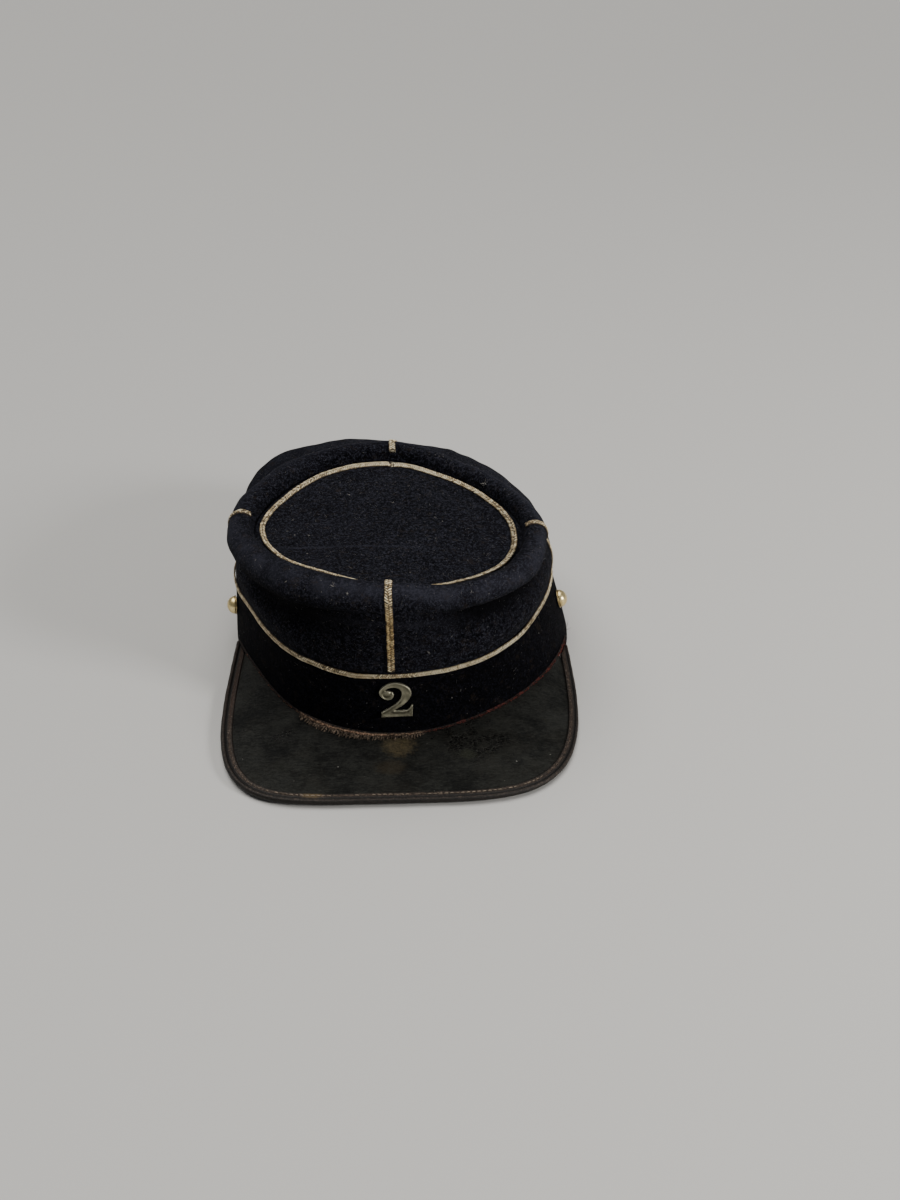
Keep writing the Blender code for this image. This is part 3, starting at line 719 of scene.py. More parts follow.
def tube_faces(count, rings, sides):
    """Faces of `count` separate tubes of `rings` rings, with a flat face at each end, all outwards
    where the ring runs counterclockwise seen from the tube's far end."""
    quads = grid_faces(rings, sides, close_columns=True)[:, ::-1]
    ends = np.stack([np.arange(sides)[::-1], (rings - 1) * sides + np.arange(sides)])
    starts = (np.arange(count) * rings * sides)[:, None, None]
    return (quads[None] + starts).reshape(-1, 4), (ends[None] + starts).reshape(-1, sides)


def tubes_round(line, radius, sides, flatness=0.8):
    """Rings round lines given as (..., steps, 3) in flat coordinates: each ring is the radius times
    cosine of an angle along the level direction square to the line, plus sine times `flatness`
    along the upward one."""
    heading = unit(np.gradient(line, axis=-2))
    level = unit(together(-heading[..., 1], heading[..., 0], 0))
    upward = np.cross(heading, level)
    upward = upward * np.where(upward[..., 2:3] < 0, -1, 1)
    angle = (np.arange(sides) * 2 * math.pi / sides + math.pi / 2)[:, None]
    ring = np.cos(angle) * level[..., None, :] + flatness * np.sin(angle) * upward[..., None, :]
    return line[..., None, :] + radius[..., None, None] * ring


def hairs(roots, heading, length, radius, rng, curl=0.5, rings=4, sides=3):
    """Thin tapering hairs: root + heading t length + curl sideways t squared length, with rings of
    `sides` points whose radius falls to a fifth at the tip."""
    count = len(roots)
    heading = unit(heading)
    side = unit(np.cross(heading, rng.normal(size=(count, 3))))
    third = np.cross(heading, side)
    t = np.linspace(0, 1, rings)[None, :, None]
    reach = np.broadcast_to(np.asarray(length, float), (count,))[:, None, None]
    bend = rng.uniform(-1, 1, (count, 1, 1)) * curl
    line = roots[:, None, :] + reach * (t * heading[:, None, :] + bend * t**2 * side[:, None, :])
    angle = (np.arange(sides) * 2 * math.pi / sides)[None, None, :, None]
    ring = np.cos(angle) * side[:, None, None, :] + np.sin(angle) * third[:, None, None, :]
    thick = np.broadcast_to(np.asarray(radius, float), (count,))[:, None, None, None]
    return line[:, :, None, :] + thick * (1 - 0.8 * t[..., None]) * ring


print("tube helpers ready")

# %% Strands and core


def strand_points(length, width, rng, closed):
    """All strands of both ribs as (along, across, up): a strand leaves the groove at the middle,
    arches over its rib as a sine and turns down at the braid's edge; the tube round that line is
    a ring of its radius. Each strand is a little off in place, slant, height and thickness."""
    margin = 0 if closed else STRAND_SLANT / 2 + 0.2
    count = round((length - 2 * margin) / STRAND_PITCH)
    start = margin + (np.arange(count) + 0.5) * (length - 2 * margin) / count
    shape = (count, 2, 2)                                     # strands, ribs, wires
    rib = np.array([-1, 1])[None, :, None]
    wire = np.array([-0.5, 0.5])[None, None, :]
    along = start[:, None, None] + wire * 1.9 * WIRE_RADIUS + (rib > 0) * STRAND_PITCH / 2
    along = along + rng.normal(0, 0.035, (count, 2, 1))
    slant = STRAND_SLANT * (1 + rng.normal(0, 0.07, (count, 2, 1)))
    height = PLAIT_CREST * (1 + rng.normal(0, 0.10, (count, 2, 1)) + rng.normal(0, 0.05, shape))
    radius = WIRE_RADIUS * (1 + rng.normal(0, 0.06, shape))
    t = np.linspace(0, 1, STRAND_STEPS)[:, None, None, None]
    spread = rib * ((width / 2 + 0.04) * t**0.95 - 0.14)
    forward = along + slant * (t - 0.5)
    arch = PLAIT_BASE - 0.08 + height * np.sin(math.pi * (0.22 + 0.68 * t)) ** 0.8
    line = np.moveaxis(together(forward, spread, arch), 0, 3)     # strands, ribs, wires, steps, 3
    thick = radius[..., None] * (0.72 + 0.28 * np.sin(math.pi * t.ravel()))
    points = tubes_round(line, thick, STRAND_SIDES)
    tone = np.clip(0.5 + 0.36 * rng.normal(size=(count, 2, 1)) + 0.16 * rng.normal(size=shape), 0, 1)
    tone = np.broadcast_to(tone[..., None, None], points.shape[:-1])
    return points, tone, count * 4


def core_points(length, width, closed, step=0.9):
    """The flat core under the strands: a section of ten (across, up) points, carried along."""
    half, top = width / 2 - 0.12, PLAIT_BASE
    section = np.array([
        (-half, 0.06), (-half, top * 0.7), (-half + 0.25, top), (-0.3, top), (0, top * 0.6),
        (0.3, top), (half - 0.25, top), (half, top * 0.7), (half, 0.06), (0, 0),
    ])
    rows = max(int(length / step), 4)
    along = np.arange(rows) * length / rows if closed else np.linspace(0, length, rows)
    points = together(along[:, None], *section.T)
    faces = [grid_faces(rows, len(section), close_rows=closed, close_columns=True)]
    if not closed:
        corners = np.arange(len(section))
        faces.append(np.stack([corners, (rows - 1) * len(section) + corners[::-1]]))
    return points, faces


print("strand helpers ready")

# %% A whole braid
FRAY_HAIRS, FRAY_RINGS = 16, 5


def fray(path, end, at, width, rng):
    """Loose hairs at a braid's end: each starts somewhere across it and heads on along it, plus
    random shares of its crosswise and outward directions."""
    roots = together(at, rng.uniform(-width / 2, width / 2, FRAY_HAIRS), rng.uniform(0.2, 0.8, FRAY_HAIRS))
    across, up = rng.normal(0, 0.5, (FRAY_HAIRS, 1)), rng.normal(0.1, 0.3, (FRAY_HAIRS, 1))
    here = laid_on(path, roots, False)
    heading = unit(here - laid_on(path, roots - [end * 0.5, 0, 0], False))
    heading = heading + across * (laid_on(path, roots + [0, 1, 0], False) - here)
    heading = heading + up * (laid_on(path, roots + [0, 0, 1], False) - here)
    return hairs(here, heading, rng.uniform(0.5, 1.6, FRAY_HAIRS), 0.06, rng, rings=FRAY_RINGS)


def make_plait(name, path, width, node, seed, closed=False, frayed=(), pull=None):
    """A braid: the core and its strands laid on a path, and loose hairs at its frayed ends, -1 for
    the first and 1 for the last. A braid that is pulled tight is narrower there: `pull` is the
    share of its width at each path point. The stored crest is the height over the core, less a bell
    curve at the middle groove and a step at the edges, where the strands dive."""
    rng = np.random.default_rng(seed)
    middle = np.concatenate([path[0], path[0][:1]]) if closed else path[0]
    length = float(path_lengths(middle)[-1])
    core, faces = core_points(length, width, closed)
    strands, tone, count = strand_points(length, width, rng, closed)
    core, strands = core.reshape(-1, 3), strands.reshape(-1, 3)
    local = np.concatenate([core, strands])
    if pull is not None:
        local[:, 1] *= np.interp(local[:, 0] % length, path_lengths(path[0]), pull)
    points = laid_on(path, local, closed)
    groove = 0.50 * bell(local[:, 1], 0, 0.28)
    edges = 0.40 * smooth_step(np.abs(local[:, 1]), width / 2 - 0.35, width / 2 + 0.05)
    crest = np.clip((local[:, 2] - PLAIT_BASE) / PLAIT_CREST - groove - edges, 0, 1)
    tone = np.append(np.full(len(core), 0.25), tone)
    faces += [block + len(core) for block in tube_faces(count, STRAND_STEPS, STRAND_SIDES)]
    if (np.cross(np.gradient(path[0], axis=0), path[1]) * path[2]).sum() < 0:
        faces = [block[:, ::-1] for block in faces]           # a mirrored frame turned them inside out
    for end in frayed:
        loose = fray(path, end, 0 if end < 0 else length, width, rng).reshape(-1, 3)
        faces += [block + len(points) for block in tube_faces(FRAY_HAIRS, FRAY_RINGS, 3)]
        points = np.concatenate([points, loose])
        crest = np.append(crest, np.full(len(loose), 0.7))
        tone = np.append(tone, np.full(len(loose), 0.6))
    make_piece(name, points, faces, node, {"crest": crest, "tone": tone})


print("plait helper ready")

# %% [markdown]
# ## Where the braids lie
#
# One braid rings the joint of band and crown, one runs in an oval on the top, and four climb the
# crown from the ring into the groove. Each path is a line on the cloth with its crosswise and
# outward directions. The upright ones are stiff, so their line is evened out over a few millimetres
# and doesn't follow every dent of the cloth. The ring was pulled tight at the front, and is narrower
# there.

# %% The ring and the four uprights
UPRIGHT_BRAIDS = {"right": 354.4, "back": 90, "left": 176.5, "front": 269.7}
UPRIGHT_LIFT = 0.12
FIRST_PLACE = 0.015       # the uprights start at the ring's upper edge
END_PLACES = 0.9          # and stop this far before the bottom of the groove
RING_TURNS = np.arange(0, 360, 0.5)
RING_WAVES = (            # turn, width and rise of the ring's sags
    (204, 7, 1), (257, 10, -1), (300, 9, -0.5), (317, 9, -0.9),
)


def ring_path():
    """The band's top line moved out by most of the gap and up or down by bell curves of the turn;
    crosswise is up the band."""
    middle = band_point(RING_TURNS, BAND_HEIGHT, GAP * 0.8)
    crosswise = unit(band_point(RING_TURNS, BAND_HEIGHT) - band_point(RING_TURNS, BAND_HEIGHT - 4))
    along = np.roll(middle, -1, axis=0) - np.roll(middle, 1, axis=0)
    wobble = 0.10 * ripples(RING_TURNS, 0, 51, (6, 40), 1)
    for turn, width, rise in RING_WAVES:
        wobble = wobble + rise * bell(RING_TURNS, turn, width)
    return middle + wobble[:, None] * crosswise, crosswise, unit(np.cross(along, crosswise))


def softened(rows, reach):
    """Each row replaced by the mean of its neighbours up to `reach` rows away, ends repeated."""
    padded = np.pad(rows, ((reach, reach), (0, 0)), mode="edge")
    sums = np.concatenate([np.zeros_like(rows[:1]), np.cumsum(padded, axis=0)])
    width = 2 * reach + 1
    return (sums[width:] - sums[:-width]) / width


def upright_path(turn):
    """The crown's line at one turn, a lift off the cloth and softened; crosswise is round the cap."""
    places = np.linspace(FIRST_PLACE, CROWN_LAST - END_PLACES, 240)
    middle = softened(crown_skin(turn, places)[0] + UPRIGHT_LIFT * crown_outward(turn, places)[0], 9)
    around = unit(crown_form(turn + 0.5, places) - crown_form(turn - 0.5, places))[0]
    crosswise = unit(softened(around, 9))
    upward = unit(np.cross(crosswise, np.gradient(middle, axis=0)))
    sway = 0.12 * np.sin(np.linspace(0, 7, len(middle)) + turn)
    return middle + sway[:, None] * crosswise, crosswise, upward


ring_pull = 0.95 - 0.10 * plateau(RING_TURNS, 240, 290, 330, 355)
ring_pull = ring_pull - 0.16 * bell(RING_TURNS, 272, 13)
make_plait("ring_plait", ring_path(), RING_BRAID_WIDTH, "band_braid", 61, closed=True, pull=ring_pull)
for side, turn in UPRIGHT_BRAIDS.items():
    frayed = (1,) if side in ("back", "front") else ()
    seed = 62 + int(turn)
    make_plait(f"{side}_plait", upright_path(turn), BRAID_WIDTH, f"{side}_braid", seed, frayed=frayed)

# %% [markdown]
# ## The oval braid
#
# The oval starts and ends at the back. Its left end is turned down, its right end lies a little
# lower, and a hair's breadth is left between them.

# %% The oval on the top
OVAL_BRAID_WIDTH = 3
OVAL_ROWS = 760
OVAL_TILT = 0.3           # rise of the oval braid's outer edge for each mm of its width
OVAL_END_TURN = 0.45      # half the gap between the ends
END_BEND = 0.75           # how far the left end turns towards the front


def oval_path():
    """The braid's own line on the top, lifted a gap; crosswise is from the middle outwards."""
    turn = np.linspace(90 + OVAL_END_TURN, 450 - OVAL_END_TURN, OVAL_ROWS)
    middle = top_form(turn, 1) + [0, 0, GAP * 0.8]
    across = top_form(turn, 1) - top_form(turn, 0.88)
    across[:, 2] += OVAL_TILT * np.linalg.norm(across, axis=-1)
    along = np.gradient(middle, axis=0)
    tilt = across[:, 2:] / np.linalg.norm(across[:, :2], axis=-1, keepdims=True)
    crosswise = unit(unit(np.cross(along, [0, 0, 1])) + tilt * [0, 0, 1])
    length = path_lengths(middle)
    bend = END_BEND * bell(length, 0, 1.3) + 0.5 * bell(length, length[-1], 3)
    sway = 0.10 * np.sin(length / 7) + 0.07 * np.sin(length / 2.9 + 1)
    middle = middle + (sway - bend)[:, None] * crosswise
    return middle, crosswise, unit(np.cross(crosswise, along))


oval_pull = 1 - 0.13 * bell(np.linspace(90, 450, OVAL_ROWS), 185, 45)
make_plait("oval_plait", oval_path(), OVAL_BRAID_WIDTH, "top_braid", 71, frayed=(-1, 1), pull=oval_pull)

# %% [markdown]
# ## The leather peak
#
# The peak is a sheet of waxed leather, nearly flat and nearly square, that starts at the band and
# ends under a folded binding. Its free edge is a superellipse, a curve between an ellipse and a
# box, squarer on the left. Old leather cockles a little, so slow waves are added; the fine grain is
# left to the finish.

# %% Outline of the peak
PEAK_WALL = 1.4
PEAK_DEPTH = 139.4
PEAK_REACH_LEFT, PEAK_POWER_LEFT = 78, 5
PEAK_REACH_RIGHT, PEAK_POWER_RIGHT = 84.4, 4.4
PEAK_EDGE_UP = 3
PEAK_HOLLOW = 1.2         # power of the rise towards the band
BINDING_WIDTH = 4.4
SEAM_GAP = 0.3            # from the band's face to the leather


def peak_edge(turn):
    """The free edge in plan: the superellipse |x / reach|^power + |y / depth|^power = 1, at the
    direction of the turn."""
    across, along = np.cos(np.radians(turn)), np.sin(np.radians(turn))
    reach = np.where(across > 0, PEAK_REACH_RIGHT, PEAK_REACH_LEFT)
    power = np.where(across > 0, PEAK_POWER_RIGHT, PEAK_POWER_LEFT)
    size = (np.abs(across / reach) ** power + np.abs(along / PEAK_DEPTH) ** power) ** (-1 / power)
    return together(MIDDLE_X + size * across, size * along)


def band_reaches(x, y, up):
    """Half-axes of the band's oval at a height, on the side of each point."""
    share = np.clip(up / BAND_HEIGHT, 0, 1)
    rim, top = OVALS["rim"], OVALS["band_top"]
    left, right, front, back = ((1 - share) * rim[k] + share * top[k] for k in range(4))
    return np.where(x > MIDDLE_X, right, left), np.where(y > 0, back, front)


def outside_band(points):
    """How far points lie outside the band's face, along the line from the oval's middle."""
    x, y, up = points[..., 0], points[..., 1], points[..., 2]
    reach_x, reach_y = band_reaches(x, y, up)
    across, along = (x - MIDDLE_X) / reach_x, y / reach_y
    turn = np.degrees(np.arctan2(along, across))
    distance = np.hypot(x - MIDDLE_X, y) * (1 - 1 / np.hypot(across, along))
    return distance - band_values(turn)["band_out"]


def ray_turn(turn, up):
    """The band's turn that lies in the same direction from the middle as an angle in plan."""
    across, along = np.cos(np.radians(turn)), np.sin(np.radians(turn))
    reach_x, reach_y = band_reaches(MIDDLE_X + across, along, up)
    return np.degrees(np.arctan2(along / reach_y, across / reach_x)) % 360


edge_search = np.linspace(182, 358, 3521)
edge_clear = outside_band(lifted(peak_edge(edge_search), PEAK_EDGE_UP)) > 0.4
PEAK_FIRST, PEAK_LAST = edge_search[edge_clear][[0, -1]]
PEAK_ROWS = 420
peak_turns = np.linspace(PEAK_FIRST, PEAK_LAST, PEAK_ROWS)
print("the peak runs from turn", round(float(PEAK_FIRST), 1), "to", round(float(PEAK_LAST), 1))

# %% Peak leather


def wall_faces(rows, columns):
    """Faces of a wall whose section runs out over one face and back along the other, with as many
    points on each, and the quads that close its two ends."""
    k = np.arange(columns // 2 - 1)
    first = together(k, k + 1, columns - 2 - k, columns - 1 - k)
    last = (first + (rows - 1) * columns)[:, ::-1]
    return [np.concatenate([grid_faces(rows, columns, close_columns=True), first, last])]


def peak_face(turn, share, lower=0):
    """The leather's face from the band (share 0) to its free edge (1): level under the binding,
    and rising towards the band as a power of the distance."""
    root_turn = ray_turn(turn, PEAK_EDGE_UP)
    root_up = band_values(root_turn)["peak_up"]
    root = band_point(root_turn, root_up - lower, SEAM_GAP)[..., :2]
    edge = peak_edge(turn)
    length = np.linalg.norm(edge - root, axis=-1)
    free = np.maximum(length - BINDING_WIDTH, 1)
    rise = np.clip(((1 - share) * length - BINDING_WIDTH) / free, 0, 1) ** PEAK_HOLLOW
    plan = root + share[..., None] * (edge - root)
    up = PEAK_EDGE_UP + (root_up - PEAK_EDGE_UP) * rise - lower
    waves = cockle(plan[..., 0], plan[..., 1], 81, (46, 31, 23, 14, 9), 0.75)
    return lifted(plan, up + waves * plateau(rise, 0, 0.25, 0.75, 1))


def make_peak():
    """Upper and lower faces a wall apart, joined along the band and along the free edge."""
    share = np.linspace(0, 1, 48)
    grid_turn, grid_share = np.broadcast_arrays(peak_turns[:, None], share[None, :])
    upper = peak_face(grid_turn, grid_share)
    lower = peak_face(grid_turn, grid_share, PEAK_WALL)[:, ::-1]
    section = np.concatenate([upper, lower], axis=1)
    make_piece("peak_leather_sheet", section, wall_faces(*section.shape[:2]), "peak")


make_peak()

# %% [markdown]
# ## The binding
#
# A strip of thinner leather is folded over the peak's edge and sewn through. Its section shows
# three things from outside to inside: a round roll over the edge, the valley that the stitches
# pull down, and a flap whose ridge is rubbed brown. The section is a formula of the distance from
# the edge, and it is carried along the edge; where the edge runs into the band, the flap is cut
# short, as on the real cap.

# %% Section of the binding
STITCH_PITCH = 2.3
STITCH_IN = 1.55          # the stitches' distance from the flap's inner edge
FOLD_IN = 3.15            # the fold between flap and roll, from the same edge
BINDING_REACH = 1.15      # how far the roll stands out beyond the leather
BINDING_UNDER = -PEAK_WALL - 0.35
INNER_GAP = 0.06          # between the leather and the strip folded over it
FLAP_STEPS, ROLL_STEPS = 26, 11


def edge_frames():
    """Points of the free edge, the directions straight out of it, and distance along it."""
    line = lifted(peak_edge(peak_turns), PEAK_EDGE_UP)
    outward = lifted(plan_outward(peak_edge, peak_turns), 0)
    return line, outward, path_lengths(line)


def flap_width(line):
    """The flap was cut by eye: it is widest on the left and narrower towards the right."""
    return 4.25 - 0.85 * smooth_step(line[:, 0], 20, 84)


def flap_room(line, outward):
    """How far in from the edge the flap can reach before it meets the band, up to its width."""
    steps = np.linspace(0, BINDING_WIDTH, 45)
    clear = outside_band(line[:, None] - steps[None, :, None] * outward[:, None]) - SEAM_GAP * 0.5
    open_steps = np.cumprod(clear > 0, axis=1).sum(axis=1)
    last = np.clip(open_steps - 1, 0, len(steps) - 2)
    rows = np.arange(len(line))
    here, beyond = clear[rows, last], clear[rows, last + 1]
    part = np.clip(here / np.maximum(here - beyond, 1e-6), 0, 1)
    reach = steps[last] + part * (steps[1] - steps[0])
    width = flap_width(line)
    return np.where(open_steps == len(steps), width, np.clip(reach, 0.3, width))


def flap_height(inside, along):
    """Height of the binding above the leather, `inside` being the distance from the flap's inner
    edge: a step up at that edge, less a bell curve at the stitches, less a deep one at the fold
    between flap and roll, and uneven along its length; each stitch draws the flap down a little."""
    uneven = 0.5 * np.cos(along / 3.7) + 0.3 * np.cos(along / 1.9 + 1) + 0.2 * np.cos(along / 0.9)
    pucker = np.cos(2 * math.pi * along / STITCH_PITCH)
    height = 0.10 + 0.52 * smooth_step(inside, 0.04 * uneven, 0.55)
    height = height - (0.10 + 0.10 * pucker) * bell(inside, STITCH_IN, 0.55)
    height = height - 0.44 * bell(inside, FOLD_IN + 0.06 * uneven, 0.42)
    height = height + 0.22 * smooth_step(inside, FOLD_IN, FOLD_IN + 1.1)
    return height + 0.05 * uneven * smooth_step(inside, 0, 0.8)


print("the binding is", round(float(edge_frames()[2][-1])), "mm long")

# %% Peak binding
ROLL_POWER = 0.85         # under 1, the roll's section is fuller than an ellipse


def make_binding():
    """Outer face over the flap, round the roll and back below, and an inner face that follows it
    round the leather's edge. The ridge and the valley's painted shade are bell curves of the
    distance from the flap's inner edge, kept to the side that shows."""
    line, outward, along = edge_frames()
    along = along[:, None]
    room, width = flap_room(line, outward)[:, None], flap_width(line)[:, None]
    top_out = -room * np.linspace(1, 0, FLAP_STEPS)
    under_out = -room * np.linspace(0, 1, 10)
    angle = np.linspace(math.pi / 2, -math.pi / 2, ROLL_STEPS + 2)[1:-1]
    crest = flap_height(width, along)
    swell = 1 + 0.04 * np.cos(along / 4.3 + 2) + 0.03 * np.cos(along / 1.7)
    round_out = BINDING_REACH * swell * np.cos(angle) ** ROLL_POWER
    round_up = (crest + BINDING_UNDER) / 2 + (crest - BINDING_UNDER) / 2 * np.sin(angle)
    under_up = BINDING_UNDER + 0.12 * bell(width + under_out, STITCH_IN, 0.4)
    inner_up = -PEAK_WALL / 2 + (PEAK_WALL / 2 + INNER_GAP) * np.sin(angle)
    inner_round = np.broadcast_to(together(0.12 * np.cos(angle), inner_up), (*round_up.shape, 2))
    outer = [together(top_out, flap_height(width + top_out, along)), together(round_out, round_up),
             together(under_out, under_up)]
    inner = [together(top_out, INNER_GAP), inner_round, together(under_out, -PEAK_WALL - INNER_GAP)]
    section = np.concatenate(outer + [np.concatenate(inner, axis=1)[:, ::-1]], axis=1)
    points = line[:, None] + section[..., :1] * outward[:, None]
    points[..., 2] += section[..., 1]
    rows, columns = points.shape[:2]
    inside = width + section[..., 0]
    shows = np.arange(columns) < FLAP_STEPS + ROLL_STEPS
    ridge = bell(inside, 1.45, 0.95) + 0.45 * bell(inside, FOLD_IN + 1.25, 0.45)
    # Painted shade: bell curves at the fold's valley and at the flap's inner edge.
    valley_shade = bell(inside, FOLD_IN, 0.46) + bell(inside, 0, 0.30)
    values = {"ridge": ridge * shows, "valley_shade": np.minimum(valley_shade, 1) * shows}
    make_piece("binding_fold", points, wall_faces(rows, columns), "peak_binding", values)


make_binding()

# %% [markdown]
# ## The stitches
#
# The thread shows as a dash between two holes, over and over: a short arched tube. A few are worn
# away. They are worked out in the same flat coordinates as the braid's strands, then laid along
# the edge.

# %% Binding thread
WORN_STITCHES = 0.12      # the share of them that is gone


def make_stitches():
    """Each stitch is an arc along the valley: its height is a cosine of the place in the stitch."""
    line, outward, along = edge_frames()
    rng = np.random.default_rng(91)
    count = int(along[-1] / STITCH_PITCH) - 3
    start = (np.arange(count) + 2) * STITCH_PITCH
    start = start[rng.random(count) > WORN_STITCHES]
    count = len(start)
    t = np.linspace(-0.5, 0.5, 6)[None, :]
    reach = 1.55 + rng.normal(0, 0.12, (count, 1))
    lean = rng.normal(0, 0.12, (count, 1))
    width = np.interp(start, along, flap_width(line))[:, None]
    local = together(
        start[:, None] + reach * t,
        STITCH_IN - width + 0.07 * np.cos(start[:, None] / 6.1) + lean * t,
        0.50 + 0.20 * np.cos(math.pi * t),
    )
    radius = (0.17 + rng.normal(0, 0.015, (count, 1))) * (0.8 + 0.2 * np.cos(math.pi * t))
    upward = np.broadcast_to([0, 0, 1], line.shape)
    points = laid_on((line, outward, upward), tubes_round(local, radius, 6), False)
    tone = rng.random((count, 1, 1))
    make_piece("binding_thread", points, tube_faces(count, 6, 6), (), {"tone": tone})


make_stitches()

# %% [markdown]
# ## The torn seam
#
# The peak was sewn to the band and covered with a narrow welt. Along the front left that welt is
# torn: an orange-brown edge of leather stands against the band, and grey-brown shreds hang from it
# with dark gaps between. Elsewhere only a thin line of red-brown leather shows. One ragged ribbon
# makes both: its section is blended between a thin welt and a torn one by how torn the seam is at
# each turn, and fast ripples fray its edge.

# %% Seam ribbon
TORN_FROM, TORN_TO = 239, 277.5
RED_FROM = 288
SEAM_FIRST, SEAM_LAST = 192, 347
SEAM_ROWS = 1150


def torn_share(turn):
    """1 where the seam is torn, falling to 0 within a few degrees on both sides."""
    return plateau(turn, TORN_FROM - 2.5, TORN_FROM + 1, TORN_TO - 1, TORN_TO + 2.5)


def seam_corner(turn):
    """The line where the leather meets the band."""
    return band_point(turn, band_values(turn)["peak_up"], SEAM_GAP * 0.6)


def make_seam():
    """A thin ribbon of (out, up) sections from the band's face over a bead, down a crack, over the
    shreds and down to the leather, with its lower side a little below."""
    turn = np.linspace(SEAM_FIRST, SEAM_LAST, SEAM_ROWS)[:, None]
    v = np.linspace(0, 1, 21)
    stops = [0, 0.10, 0.22, 0.34, 0.44, 0.52, 0.66, 0.84, 1]
    torn_out = np.interp(v, stops, [-0.05, 0.55, 1.20, 1.70, 1.95, 2.10, 2.70, 3.35, 4])
    torn_up = np.interp(v, stops, [1.10, 0.95, 1.15, 1.25, 0.62, 0.52, 0.92, 0.60, 0.10])
    thin_out = np.interp(v, [0, 0.3, 0.6, 1], [-0.05, 0.28, 0.52, 0.72])
    thin_up = np.interp(v, [0, 0.3, 0.6, 1], [0.80, 0.72, 0.42, 0.02])
    torn = torn_share(turn)
    narrow = 0.87 - 0.25 * smooth_step(turn, 262, 270) + 0.25 * smooth_step(turn, 239, 246)
    out = torn * torn_out * narrow + (1 - torn) * thin_out
    up = torn * torn_up + (1 - torn) * thin_up
    broad = ripples(turn, v * 0.5, 101, (60, 160), 2)
    ragged = ripples(turn, v * 2, 102, (220, 560), 3, 40)
    fine = ripples(turn, v * 3, 103, (600, 1300), 4, 40)
    reddened = smooth_step(turn, RED_FROM - 10, RED_FROM + 6)
    fuzzy = reddened * smooth_step(broad, -0.3, 0.5)
    out = out + v**2 * (0.12 + 1.05 * torn + 0.55 * fuzzy) * (0.7 * broad + ragged + 0.6 * fine)
    out = out + torn * 0.22 * broad * smooth_step(v, 0.05, 0.3)
    rough = (0.08 + 0.32 * torn + 0.20 * fuzzy) * (0.2 + v**2) * (0.6 * ragged + 0.9 * fine)
    lack = smooth_step(broad + 0.6 * ragged, 0.20, 0.60) * smooth_step(v, 0.44, 0.60)
    up = up + rough * smooth_step(v, 0.05, 0.2) - torn * lack * 1.3
    out = np.maximum(out, 0.02 * v - 0.05)
    corner = seam_corner(turn)
    outward = lifted(oval_outward("rim", turn), 0)
    face = corner + out[..., None] * outward
    face[..., 2] += up
    back = corner + np.maximum(out - 0.10, -0.2)[..., None] * outward
    back[..., 2] += up - 0.24
    section = np.concatenate([face, back[:, ::-1]], axis=1)
    both = np.append(v, v[::-1])
    deep = 0.75 + 0.5 * np.concatenate([broad, broad[:, ::-1]], axis=1)
    crack = deep * bell(both, 0.49, 0.05)
    values = {
        "upper": plateau(both, 0.16, 0.24, 0.38, 0.46),
        "red": reddened * (1 - smooth_step(turn, 342, 347)),
        "torn": torn,
        "cloth": np.clip(1 - smooth_step(both, 0.14, 0.22) + crack, 0, 1),
    }
    make_piece("seam_welt", section, wall_faces(*section.shape[:2]), "peak_seam", values)


make_seam()

# %% [markdown]
# ## Fibres along the seam
#
# Old leather breaks into fibres. They are short hairs that stand in tufts in the corner: grey-brown
# ones along the torn stretch, many red ones on the right and a few brown ones on the left.

# %% Seam fibres
FIBRES = [                # turns from and to, how many, how red, the longest
    (TORN_FROM - 3, TORN_TO + 2, 700, 0.30, 1.9),
    (TORN_TO, SEAM_LAST - 3, 900, 0.95, 1.1),
    (SEAM_FIRST + 8, TORN_FROM, 260, 0.55, 0.9),
]
TUFT_SIZE = 14


def make_fibres():
    """Hairs in tufts at random places along the corner, leaning out, up and along it."""
    rng = np.random.default_rng(111)
    parts = []
    for low, high, count, red, reach in FIBRES:
        tufts = rng.uniform(low, high, count // TUFT_SIZE)
        turn = np.clip(tufts[rng.integers(0, len(tufts), count)] + rng.normal(0, 0.7, count), low, high)
        torn = torn_share(turn)
        corner = seam_corner(turn)
        outward = lifted(oval_outward("rim", turn), 0)
        around = together(-outward[:, 1], outward[:, 0], 0)
        away = rng.uniform(0.15, 0.9, count) + torn * rng.uniform(0, 1.4, count)
        root = corner + away[:, None] * outward
        root[:, 2] += rng.uniform(0.1, 0.5, count) + torn * rng.uniform(0, 1, count)
        heading = rng.uniform(0.1, 1, (count, 1)) * outward + rng.normal(0, 0.9, (count, 1)) * around
        heading = heading + rng.uniform(0, 0.6, (count, 1)) * [0, 0, 1]
        parts.append((root, heading, rng.uniform(0.4, 1, count) * reach,
                      np.clip(red + rng.normal(0, 0.18, count), 0, 1)))
    roots, headings, lengths, tones = map(np.concatenate, zip(*parts))
    points = hairs(roots, headings, lengths, 0.07, rng)
    make_piece("seam_fibres", points, tube_faces(len(roots), 4, 3), (), {"tone": tones[:, None, None]})


make_fibres()

# %% [markdown]
# ## The side buttons
#
# Each button is stamped from sheet brass: a high dome over a narrow rolled rim. That is a turned
# shape, so one profile is spun round the direction that points straight out of the band.

# %% Side buttons
BUTTON_TURNS = {"left": 187.5, "right": 352.5}
BUTTON_UP = 21.5
BUTTON_RADIUS = 4.7
BUTTON_HEIGHT = 4.6
BUTTON_STEPS = 96


